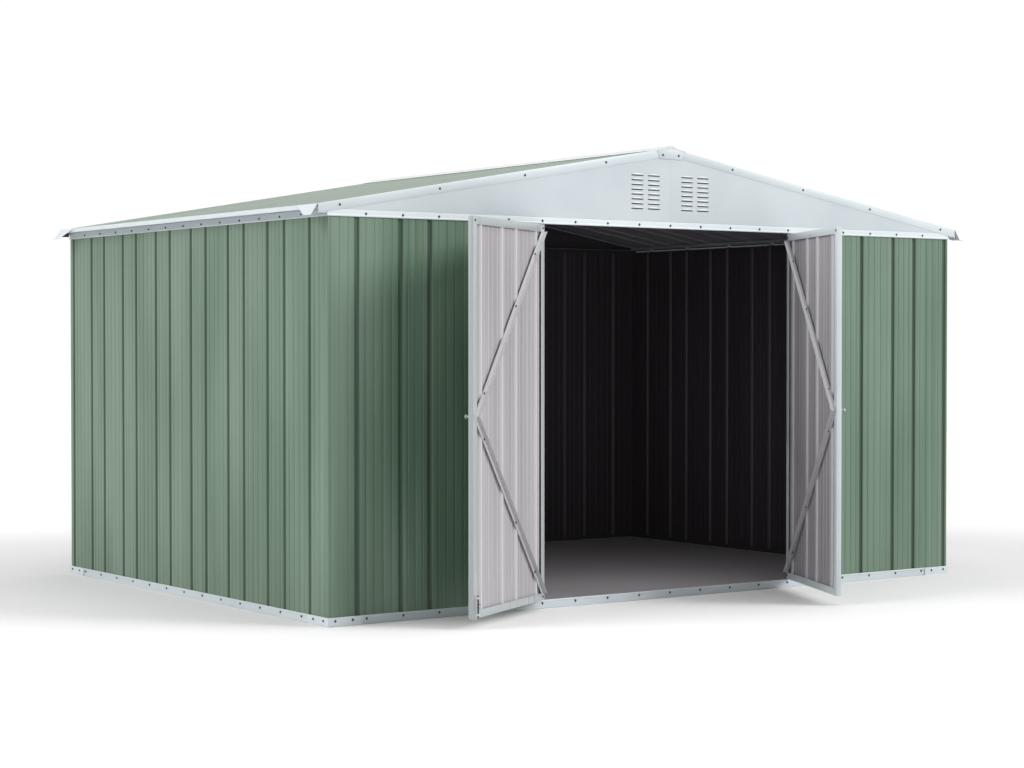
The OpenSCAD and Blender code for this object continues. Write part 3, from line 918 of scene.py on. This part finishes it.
@dataclass
class Rails:
    """Base and head rails with rolled edges, the corner brackets and the door jambs."""

    shell: Shell
    base_height: float = 0.041
    head_height: float = 0.033
    flange: float = 0.026
    bead: float = 0.0025
    bead_height: float = 0.007
    hem: float = 0.0002
    bracket_leg: float = 0.175
    fold_radius: float = 0.0017
    bracket_radius: float = 0.0022
    lip_length: float = 2.60
    lip_rise: float = 0.010
    lip_thickness: float = 0.002
    lip_height: float = 0.008
    clip_width: float = 0.030
    clip_height: float = 0.016
    clips: tuple[float, ...] = (1.384, 1.775, 2.170, 2.531)

    def section(self, height: float) -> list[Point]:
        """Draws the section of a rail that stands on its web.

        Args:
            height: Height of the rail's face.

        Returns:
            Corners of the outer face, as distances inwards and up.
        """
        low = height - self.bead_height
        return [(self.hem, height), (-self.bead, height), (-self.bead, low), (0.0, low - self.bead),
                (0.0, 0.0), (self.shell.rail_d, 0.0), (self.shell.rail_d, self.flange)]

    def _rail(self, name: str, path: Sequence[Point], side: Side) -> None:
        """Runs a section along a wall and mitres its ends.

        Args:
            name: The node that the rail stands for.
            path: Corners of the section's outer face.
            side: Its wall.
        """
        shell = self.shell
        length, over = shell.length(side), 2 * shell.rail_d
        bm = folded_strip(path, length + 2 * over, self.fold_radius)
        # The room side of the white rail's inner flange takes the dark backing coat as painted shade
        for face in bm.faces:
            face.material_index = int(face.calc_center_median().x > shell.rail_d - shell.fit / 2)
        moved(bm, Matrix.Translation((-over, 0, 0)) @ ALONG_X)
        trimmed(bm, (shell.fit, 0, 0), (-1, 1, 0))
        trimmed(bm, (length - shell.fit, 0, 0), (1, 1, 0))
        moved(bm, shell.frame(side))
        piece(f"{name}_fold", bm, Body.SHED, (WHITE, PAINTED_SHADE_BACKING), [name], shell.rail_t)

    def _lip(self) -> None:
        """Builds a near-white strip with clips inside the right head rail, as painted highlight on the
        lit lower edge of its inner flange.
        """
        shell = self.shell
        inner = shell.half_width - shell.rail_d - shell.fit
        foot = shell.wall_top - self.flange + self.lip_rise
        strips = [(shell.depth / 2, self.lip_length, self.lip_height)]
        strips += [(y, self.clip_width, self.clip_height) for y in self.clips]
        bm = bmesh.new()
        for y, width, tall in strips:
            centre = Matrix.Translation((inner - self.lip_thickness / 2, y, foot + tall / 2))
            size = Matrix.Diagonal((self.lip_thickness, width, tall, 1.0))
            bmesh.ops.create_cube(bm, size=1.0, matrix=centre @ size)
        bmesh.ops.bevel(bm, geom=bm.edges[:], offset=PLATE_EDGE, segments=1, profile=0.5,
                        affect="EDGES", material=-1)
        piece("head_rail_lip", bm, Body.SHED, (PAINTED_HIGHLIGHT_LIP_ZINC,))

    def _brackets(self) -> None:
        """Builds the four brackets that wrap the base corners."""
        shell = self.shell
        out = self.bead + shell.fit + shell.rail_t
        joined = bmesh.new()
        for side in Side:
            bm = folded_strip([(-out, self.bracket_leg), (-out, -out), (self.bracket_leg, -out)],
                              self.base_height, self.bracket_radius)
            absorb(joined, moved(bm, shell.frame(side)))
        piece("base_corner_bracket_folds", joined, Body.SHED, (WHITE,),
              ["base_corner_brackets"], shell.rail_t)

    def build(self) -> None:
        """Builds the rails, brackets and jambs."""
        for side in Side:
            self._rail(f"base_rail_{side.value}", self.section(self.base_height), side)
            upright = self.section(self.head_height)
            hung = [(u, self.shell.wall_top - z) for u, z in reversed(upright)]
            self._rail(f"head_rail_{side.value}", hung, side)
        self._brackets()
        self._lip()
        for name in ("jamb_left", "jamb_right"):
            piece(f"{name}_fold", softened(name, FOLD_EDGE), Body.SHED, (WHITE,),
                  [name])


# ---------------------------------------------------------------- gables


@dataclass
class Gables:
    """Gable plates with louvred vents, the rake trims over them and the apex plates."""

    shell: Shell
    slot_length: float = 0.073
    slot_height: float = 0.0056
    slot_pitch: float = 0.0232
    slot_rows: int = 8
    slot_base: float = 0.060
    columns: tuple[float, ...] = (-0.2085, -0.1055, 0.1055, 0.2085)
    hood_depth: float = 0.0034
    hood_height: float = 0.0085

    def _hood(self) -> BMesh:
        """Makes one pressed hood over a slot.

        Returns:
            The hood, with the middle of its straight lower edge at the origin.
        """
        bm = bmesh.new()
        size = Matrix.Diagonal((self.slot_length / 2, self.hood_depth, self.hood_height, 1.0))
        bmesh.ops.create_uvsphere(bm, u_segments=14, v_segments=8, radius=1.0, matrix=size)
        for away in ((0, 0, -1), (0, 1, 0)):
            trimmed(bm, (0, 0, 0), away)
            bmesh.ops.holes_fill(bm, edges=[e for e in bm.edges if e.is_boundary], sides=0)
        bmesh.ops.recalc_face_normals(bm, faces=bm.faces)
        return bm

    def _hoods(self, turn: Matrix) -> BMesh:
        """Joins the hoods of a whole gable.

        Args:
            turn: The move from the front gable to this one.

        Returns:
            The hoods.
        """
        joined = bmesh.new()
        first = self.shell.wall_top + self.slot_base + self.slot_height / 2
        for x in self.columns:
            for row in range(self.slot_rows):
                z = first + row * self.slot_pitch
                absorb(joined, moved(self._hood(), turn @ Matrix.Translation((x, 0.0, z))))
        return joined

    def _plate(self, node: str, inwards: float) -> None:
        """Makes one half of a gable, with its inner side in the dark backing coat as painted shade.

        Args:
            node: The node that it stands for.
            inwards: Sign of the way along Y that leads indoors.
        """
        plate = softened(node, 0.0)
        # Outside in the darker gable white and indoors in the dark backing coat, both painted shade
        for face in plate.faces:
            face.material_index = int(face.normal.y * inwards > 0.5)
        piece(f"{node}_plate", plate, Body.SHED, (PAINTED_SHADE_GABLE_WHITE, PAINTED_SHADE_BACKING), [node])

    def build(self) -> None:
        """Builds both gables."""
        for end, turn, inwards in (("front", Matrix(), 1.0), ("back", self.shell.half_turn(), -1.0)):
            for hand in ("left", "right"):
                self._plate(f"gable_{end}_{hand}", inwards)
            # The louvre hoods take the darker gable white as painted shade
            piece(f"gable_{end}_louvres", self._hoods(turn), Body.SHED,
                  (PAINTED_SHADE_GABLE_WHITE,))
            node = f"rake_trims_{end}"
            piece(f"{node}_folds", softened(node, FOLD_EDGE), Body.SHED, (WHITE,),
                  [node])
        piece("apex_cover_plates", softened("apex_plates", PLATE_EDGE), Body.SHED,
              (WHITE,), ["apex_plates"])


# ---------------------------------------------------------------- roof


@dataclass
class Roof:
    """Ribbed roof slopes, ridge cap, eave trims and their corner caps."""

    shell: Shell
    ribs: RibProfile = field(default_factory=RibProfile)
    first: float = 0.218
    repeats: int = 8
    last_edge: float = 0.068
    over: float = 0.06
    ridge_half: float = 0.095
    crown_half: float = 0.030
    crown_rise: float = 0.010
    cap_reach: float = 0.0038
    cap_radius: float = 0.004
    plug_foot: float = 0.003
    plug_front: float = 0.0030
    plug_back: float = 0.0036
    plug_thickness: float = 0.0006

    def _slope(self, hand: Hand) -> None:
        """Builds the sheet of one slope.

        Args:
            hand: Side of the slope.
        """
        shell, ribs = self.shell, self.ribs
        centres = ribs.pairs(self.first, self.repeats)
        grooves = [c for c in centres if c < shell.depth - self.last_edge]
        across = ribs.sheet(grooves, 0.0, start=shell.fit, end=shell.depth - shell.fit)
        path = [(y, shell.roof_top - n) for y, n in reversed(across)]
        run = shell.roof_half / math.cos(shell.slope) + 2 * self.over
        bm = folded_strip(path, run, ribs.fold_radius)
        recessed(bm, lambda at: shell.roof_top - at.y, ribs.depth)
        moved(bm, ALONG_X)
        place = (Matrix.Translation((0, 0, shell.ridge_seat))
                 @ Matrix.Rotation(shell.slope, 4, "Y") @ Matrix.Translation((-self.over, 0, 0)))
        moved(bm, place)
        trimmed(bm, (shell.fit, 0, 0), (-1, 0, 0))
        trimmed(bm, (shell.roof_half, 0, 0), (1, 0, 0))
        if hand is Hand.LEFT:
            moved(bm, MIRROR_X)
        node = f"roof_{hand.name.lower()}"
        piece(f"{node}_sheet", bm, Body.SHED, (ROOF_GREEN, ROOF_BACKING), [node],
              shell.sheet_t)

    def _cap_path(self) -> list[Point]:
        """Draws the ridge cap's top with its raised crown.

        Returns:
            Corners from right to left, as distances from the middle and heights.
        """
        shell = self.shell
        lift = (shell.roof_top + 2 * (shell.fit + shell.rail_t)) / math.cos(shell.slope)
        flange = [(x, shell.rake(x) + lift) for x in (self.ridge_half, self.crown_half)]
        inner = self.crown_half / 2
        half = [*flange, (inner, shell.rake(inner) + lift + self.crown_rise)]
        return [*half, *((-x, z) for x, z in reversed(half))]

    def _cap(self) -> None:
        """Builds the ridge cap with its raised crown."""
        shell = self.shell
        bm = folded_strip(self._cap_path(), shell.depth + 2 * self.cap_reach, self.cap_radius)
        moved(bm, Matrix.Translation((0, shell.depth + self.cap_reach, 0)) @ ALONG_Y)
        piece("ridge_cap_fold", bm, Body.SHED, (PALE_ZINC,), ["ridge_cap"],
              shell.rail_t)

    def _cap_ends(self) -> None:
        """Closes both ends of the ridge cap's crown with thin plugs."""
        shell = self.shell
        outline = [(x, z - shell.rail_t - (self.plug_foot if abs(x) > self.crown_half / 2 else 0.0))
                   for x, z in self._cap_path() if abs(x) <= self.crown_half]
        plugs = bmesh.new()
        for y in (-self.plug_front, shell.depth + self.plug_back):
            plug = bmesh.new()
            plug.faces.new([plug.verts.new((x, y, z)) for x, z in outline])
            raised = bmesh.ops.extrude_face_region(plug, geom=plug.faces[:])["geom"]
            bmesh.ops.translate(plug, verts=[v for v in raised if isinstance(v, bmesh.types.BMVert)],
                                vec=(0.0, -self.plug_thickness, 0.0))
            bmesh.ops.recalc_face_normals(plug, faces=plug.faces)
            absorb(plugs, plug)
        piece("ridge_cap_ends", plugs, Body.SHED, (PALE_ZINC,))

    def build(self) -> None:
        """Builds the roof."""
        for hand in Hand:
            self._slope(hand)
            node = f"eave_trim_{hand.name.lower()}"
            piece(f"{node}_fold", softened(node, FOLD_EDGE), Body.SHED, (WHITE,),
                  [node])
        self._cap()
        self._cap_ends()
        piece("eave_corner_caps", softened("eave_caps", FOLD_EDGE), Body.SHED,
              (WHITE,), ["eave_caps"])


# ---------------------------------------------------------------- doors


# How far each leaf stands open, in degrees
OPEN_DEG = {Hand.LEFT: 149.0, Hand.RIGHT: 65.0}


@dataclass
class DoorLeaf:
    """One door leaf: ribbed panel, frame, braces, hinges and knob, standing open."""

    shell: Shell
    hand: Hand
    opening: float
    ribs: RibProfile = field(default_factory=RibProfile)
    edge: float = 0.803
    front: float = 0.0014
    width: float = 0.8005
    low: float = 0.046
    high: float = 1.818
    depth: float = 0.024
    hinge: Point = (0.8055, -0.0048)
    grooves: tuple[float, ...] = (0.0905, 0.3215, 0.479, 0.710)
    middle: float = 0.936
    stile_half: float = 0.020
    knob_profile: tuple[Point, ...] = (
        (0.0, 0.0), (0.016, 0.0), (0.016, 0.0018), (0.0135, 0.003), (0.006, 0.0042), (0.006, 0.012),
        (0.01032, 0.0148), (0.012, 0.018), (0.01056, 0.0222), (0.006, 0.024), (0.0, 0.024))
    knob_steps: int = 32

    @property
    def body(self) -> Body:
        """The body that the leaf is."""
        return Body.LEFT_DOOR if self.hand is Hand.LEFT else Body.RIGHT_DOOR

    @property
    def name(self) -> str:
        """The start of the leaf's node names."""
        return f"{self.hand.name.lower()}_door"

    def place(self) -> Matrix:
        """Finds the leaf's frame: X from the hinge edge and Y inwards when it is closed.

        Returns:
            The move from the leaf's frame to the building's.
        """
        x, y = self.hinge
        swing = (Matrix.Translation((-x, y, 0)) @ Matrix.Rotation(-self.opening, 4, "Z")
                 @ Matrix.Translation((x, -y, 0)))
        leaf = swing @ Matrix.Translation((-self.edge, self.front, 0))
        return leaf if self.hand is Hand.LEFT else MIRROR_X @ leaf

    def _panel(self) -> None:
        """Builds the ribbed panel, green outside and pale inside."""
        shell = self.shell
        margin = shell.rail_t + shell.fit
        plane = self.depth - margin - shell.sheet_t - self.ribs.depth
        path = self.ribs.sheet(self.grooves, plane, start=margin, end=self.width - margin)
        bm = folded_strip(path, self.high - self.low - 2 * margin, self.ribs.fold_radius)
        recessed(bm, lambda at: at.y - plane, self.ribs.depth)
        moved(bm, self.place() @ Matrix.Translation((0, 0, self.low + margin)))
        piece(f"{self.name}_sheet", bm, self.body, (GREEN, PALE_BACKING),
              [f"{self.name}_panel"], shell.sheet_t)

    def _knob(self) -> None:
        """Turns the knob and its rose from their profile, given as radii and heights."""
        bm = bmesh.new()
        verts = [bm.verts.new((r, 0.0, z)) for r, z in self.knob_profile]
        edges = [bm.edges.new(pair) for pair in zip(verts, verts[1:])]
        bmesh.ops.spin(bm, geom=[*verts, *edges], cent=(0, 0, 0), axis=(0, 0, 1), dvec=(0, 0, 0),
                       angle=2 * math.pi, steps=self.knob_steps, use_merge=True,
                       use_duplicate=False)
        bmesh.ops.remove_doubles(bm, verts=bm.verts, dist=1e-6)
        bmesh.ops.recalc_face_normals(bm, faces=bm.faces)
        seat = Matrix.Translation((self.width - self.stile_half, -self.shell.fit, self.middle))
        moved(bm, self.place() @ seat @ Matrix.Rotation(math.pi / 2, 4, "X"))
        piece(f"{self.name}_turned_knob", bm, self.body, (BRIGHT,),
              [f"{self.name}_knob"])

    def build(self) -> None:
        """Builds the leaf."""
        self._panel()
        self._knob()
        # The left leaf's frame takes a darker copy of the white trim as painted shade
        frame_finish = PAINTED_SHADE_FRAME_GREY if self.hand is Hand.LEFT else WHITE
        for part, suffix, slot, finish in (
                ("frame", "channels", Slot.WHITE_TRIM, frame_finish),
                ("braces", "angles", Slot.GALVANISED, BRACE_ZINC),
                ("hinges", "plates", Slot.GALVANISED, ZINC)):
            node = f"{self.name}_{part}"
            piece(f"{node}_{suffix}", softened(node, PLATE_EDGE), self.body, (finish,), [node])


@dataclass
class Fittings:
    """Jamb hinges and the left leaf's drop bolt, as the frame has them, with rounded edges."""

    bolt_edge: float = 0.0006

    def build(self) -> None:
        """Builds the fittings."""
        piece("jamb_hinge_plates", softened("jamb_hinges", PLATE_EDGE), Body.SHED,
              (ZINC,), ["jamb_hinges"])
        piece("left_bolt_bracket", softened("left_bolt_guides", FOLD_EDGE), Body.LEFT_DOOR,
              (ZINC,), ["left_bolt_guides"])
        piece("left_drop_bolt_rod", softened("left_drop_bolt", self.bolt_edge), Body.LEFT_BOLT,
              (DARK,), ["left_drop_bolt"])


# ---------------------------------------------------------------- screws


@dataclass
class Screws:
    """Self-tapping screws with washers, in rows along the rails, trims and braces."""

    shell: Shell
    washer: float = 0.0062
    washer_t: float = 0.0011
    washer_taper: float = 0.9
    washer_sides: int = 12
    head: float = 0.0044
    head_t: float = 0.0032
    head_taper: float = 0.86
    head_sides: int = 6
    spacing: float = 0.195
    front_reach: int = 9
    side_first: float = 0.236
    side_count: int = 13
    base_height: float = 0.025
    head_drop: float = 0.018
    bracket_face: float = -0.0039
    bracket_places: tuple[float, ...] = (0.035, 0.125)
    rake_places: tuple[float, ...] = (0.402, 0.883, 1.361, 1.892)
    rake_face: float = -0.0014
    rake_drop: float = 0.020
    apex_place: float = 0.050
    apex_face: float = -0.0028
    apex_drop: float = 0.037
    leaf_inset: float = 0.018
    brace_inset: float = 0.032
    brace_t: float = 0.0014
    brace_places: tuple[float, ...] = (0.13, 0.42, 0.88)

    def _screw(self, bm: BMesh, at: Matrix) -> None:
        """Adds one screw to a mesh.

        Args:
            bm: The mesh.
            at: The screw's frame, with Z outwards.
        """
        bmesh.ops.create_cone(bm, cap_ends=True, segments=self.washer_sides, radius1=self.washer,
                              radius2=self.washer * self.washer_taper, depth=self.washer_t,
                              matrix=at @ Matrix.Translation((0, 0, self.washer_t / 2)))
        middle = self.washer_t + self.head_t / 2
        bmesh.ops.create_cone(bm, cap_ends=True, segments=self.head_sides, radius1=self.head,
                              radius2=self.head * self.head_taper, depth=self.head_t,
                              matrix=at @ Matrix.Translation((0, 0, middle)))

    def _row(self, name: str, body: Body, places: Iterable[Matrix]) -> None:
        """Joins a group of screws into one piece.

        Args:
            name: Name of the piece.
            body: The body that it rides on.
            places: A frame for each screw, with Z outwards.
        """
        bm = bmesh.new()
        for at in places:
            self._screw(bm, at)
        piece(name, bm, body, (DARK,))

    def _rail_places(self, side: Side) -> list[Matrix]:
        """Places the screws of one wall's rails and base brackets.

        Args:
            side: The wall.

        Returns:
            A frame for each screw.
        """
        shell = self.shell
        length = shell.length(side)
        if side in (Side.FRONT, Side.BACK):
            reach = self.front_reach
            along = [length / 2 + k * self.spacing for k in range(-reach, reach + 1)]
        else:
            along = [self.side_first + k * self.spacing for k in range(self.side_count)]
            if side is Side.LEFT:
                along = [length - s for s in along]
        places = [(s, 0.0, shell.wall_top - self.head_drop) for s in along]
        places += [(s, 0.0, self.base_height) for s in along]
        places += [(end, self.bracket_face, self.base_height)
                   for s in self.bracket_places for end in (s, length - s)]
        return [shell.frame(side) @ Matrix.Translation(p) @ FACING_OUT for p in places]

    def _gable_places(self) -> list[Matrix]:
        """Places the screws of the front gable's rake trims and apex plate.

        Returns:
            A frame for each screw.
        """
        shell = self.shell
        edge = (shell.roof_top + shell.fit + shell.rail_t) / math.cos(shell.slope)
        places = [(x * s, self.rake_face, shell.rake(x) + edge - self.rake_drop)
                  for x in self.rake_places for s in (-1, 1)]
        places += [(x, self.apex_face, shell.rake(0) + edge - self.apex_drop)
                   for x in (-self.apex_place, self.apex_place)]
        return [Matrix.Translation(p) @ FACING_OUT for p in places]

    def _leaf_places(self, leaf: DoorLeaf) -> list[Matrix]:
        """Places the screws of a door leaf's inner face, at its frame corners and braces.

        Args:
            leaf: The leaf.

        Returns:
            A frame for each screw.
        """
        near, far = leaf.stile_half, leaf.width - leaf.stile_half
        bottom, top = leaf.low + self.leaf_inset, leaf.high - self.leaf_inset
        places = [(near, leaf.depth, bottom), (near, leaf.depth, top), (far, leaf.depth, top)]
        face = leaf.depth + self.brace_t
        for end in (leaf.high - self.brace_inset, leaf.low + self.brace_inset):
            places += [(near + (far - near) * t, face, end + (leaf.middle - end) * t)
                       for t in self.brace_places]
        back = Matrix.Rotation(-math.pi / 2, 4, "X")
        return [leaf.place() @ Matrix.Translation(p) @ back for p in places]

    def build(self, leaves: Iterable[DoorLeaf]) -> None:
        """Builds every group of screws.

        Args:
            leaves: The door leaves.
        """
        for side in Side:
            self._row(f"rail_screws_{side.value}", Body.SHED, self._rail_places(side))
        front = self._gable_places()
        self._row("gable_screws_front", Body.SHED, front)
        turn = self.shell.half_turn()
        self._row("gable_screws_back", Body.SHED, [turn @ m for m in front])
        for leaf in leaves:
            self._row(f"{leaf.name}_screws", leaf.body, self._leaf_places(leaf))


# ---------------------------------------------------------------- studio


def facing(comes_from: Sequence[float]) -> Euler:
    """Returns the turn of a lamp whose light comes from a direction."""
    return Vector(comes_from).to_track_quat("Z", "Y").to_euler()


@dataclass(frozen=True)
class Key:
    """A distant soft light that comes from a direction and spreads over an angle."""

    name: str
    comes_from: tuple[float, float, float]
    spread_deg: float
    strength: float

    def build(self) -> None:
        """Adds the light."""
        light = bpy.data.lights.new(self.name, "SUN")
        light.angle, light.energy = math.radians(self.spread_deg), self.strength
        made = bpy.data.objects.new(self.name, light)
        made.rotation_euler = facing(self.comes_from)
        bpy.context.scene.collection.objects.link(made)


@dataclass
class Studio:
    """Pale floor, soft light and the camera."""

    shell: Shell
    floor_half: float = 60.0
    floor_middle: float = 1.4
    floor_drop: float = 0.0005
    ground_inset: float = 0.036
    sky: float = 0.20
    backdrop: float = 1.02
    keys: tuple[Key, ...] = (
        Key("left_key", (-0.86, 0.22, 0.62), 40.0, 1.9),
        Key("right_key", (0.72, -0.70, 0.58), 25.0, 2.2),
        Key("top_key", (0.10, -0.10, 1.0), 60.0, 2.0))
    fill: float = 7.5
    fill_size: Point = (1.5, 0.7)
    fill_place: tuple[float, float, float] = (0.0, 0.36, 1.20)
    fill_comes_from: tuple[float, float, float] = (0.0, -0.75, 0.66)
    lens: float = 76.4
    sensor: float = 36.0
    reach: float = 200.0
    eye: tuple[float, float, float] = (-6.831, -8.322, 1.268)
    look_deg: tuple[float, float, float] = (88.875, 0.0, -35.215)

    def _floor(self) -> None:
        """Lays the floor, and a darker sheet of painted shade on the ground inside the shed."""
        bm = bmesh.new()
        place = Matrix.Translation((0, self.floor_middle, -self.floor_drop))
        bmesh.ops.create_grid(bm, x_segments=1, y_segments=1, size=self.floor_half, matrix=place)
        self._stage("studio_floor", bm, STUDIO_FLOOR)
        # Painted shade: a darker sheet on the ground inside the shed
        bm = bmesh.new()
        half_width = self.shell.half_width - self.ground_inset
        half_depth = self.shell.depth / 2 - self.ground_inset
        half = Matrix.Diagonal((half_width, half_depth, 1, 1))
        middle = Matrix.Translation((0, self.shell.depth / 2, self.floor_drop))
        bmesh.ops.create_grid(bm, x_segments=1, y_segments=1, size=1.0, matrix=middle @ half)
        self._stage("painted_shade_ground", bm, PAINTED_SHADE_GROUND)

    def _stage(self, name: str, bm: BMesh, finish: Finish) -> None:
        """Makes a mesh a part of the studio.

        Args:
            name: Name of the part.
            bm: Its mesh, which is freed.
            finish: Its finish.
        """
        mesh = bpy.data.meshes.new(name)
        bm.to_mesh(mesh)
        bm.free()
        mesh.materials.append(material(finish))
        made = bpy.data.objects.new(name, mesh)
        bpy.context.scene.collection.objects.link(made)

    def _doorway_fill(self) -> None:
        """Adds a weak lamp behind the doorway that lights the ground and the roof inside."""
        light = bpy.data.lights.new("doorway_fill", "AREA")
        light.shape = "RECTANGLE"
        light.size, light.size_y = self.fill_size
        light.energy = self.fill
        made = bpy.data.objects.new("doorway_fill", light)
        made.location = self.fill_place
        made.rotation_euler = facing(self.fill_comes_from)
        made.visible_camera = False
        made.visible_glossy = False
        bpy.context.scene.collection.objects.link(made)

    def _sky(self) -> None:
        """Lights the scene evenly from all round, with a white backdrop behind and in reflections."""
        world = bpy.data.worlds.new("studio")
        world.use_nodes = True
        tree = world.node_tree
        tree.nodes.clear()
        ray = tree.nodes.new("ShaderNodeLightPath")
        brightness = tree.nodes.new("ShaderNodeMapRange")
        brightness.inputs["To Min"].default_value = self.backdrop
        brightness.inputs["To Max"].default_value = self.sky
        sky = tree.nodes.new("ShaderNodeBackground")
        last = tree.nodes.new("ShaderNodeOutputWorld")
        tree.links.new(ray.outputs["Is Diffuse Ray"], brightness.inputs["Value"])
        tree.links.new(brightness.outputs["Result"], sky.inputs["Strength"])
        sky.inputs["Color"].default_value = (1.0, 1.0, 1.0, 1.0)
        tree.links.new(sky.outputs["Background"], last.inputs["Surface"])
        bpy.context.scene.world = world

    def _camera(self) -> None:
        """Sets the camera at eye height before the left front corner."""
        data = bpy.data.cameras.new("camera")
        data.lens, data.sensor_width = self.lens, self.sensor
        data.clip_end = self.reach
        made = bpy.data.objects.new("camera", data)
        made.location = self.eye
        made.rotation_euler = [math.radians(turn) for turn in self.look_deg]
        bpy.context.scene.collection.objects.link(made)
        bpy.context.scene.camera = made

    def build(self) -> None:
        """Builds the studio."""
        bpy.context.scene.view_settings.view_transform = "Standard"
        self._sky()
        self._floor()
        for key in self.keys:
            key.build()
        self._doorway_fill()
        self._camera()


def main() -> None:
    """Builds the shed and the studio."""
    logging.basicConfig(level=logging.INFO, format="%(name)s: %(message)s")
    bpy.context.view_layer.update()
    shell = Shell()
    leaves = [DoorLeaf(shell, hand, math.radians(turn)) for hand, turn in OPEN_DEG.items()]
    for assembly in (Walls(shell), Rails(shell), Gables(shell), Roof(shell), *leaves, Fittings()):
        LOG.info("building %s", type(assembly).__name__)
        assembly.build()
    Screws(shell).build(leaves)
    Studio(shell).build()


if __name__ == "__main__":
    main()
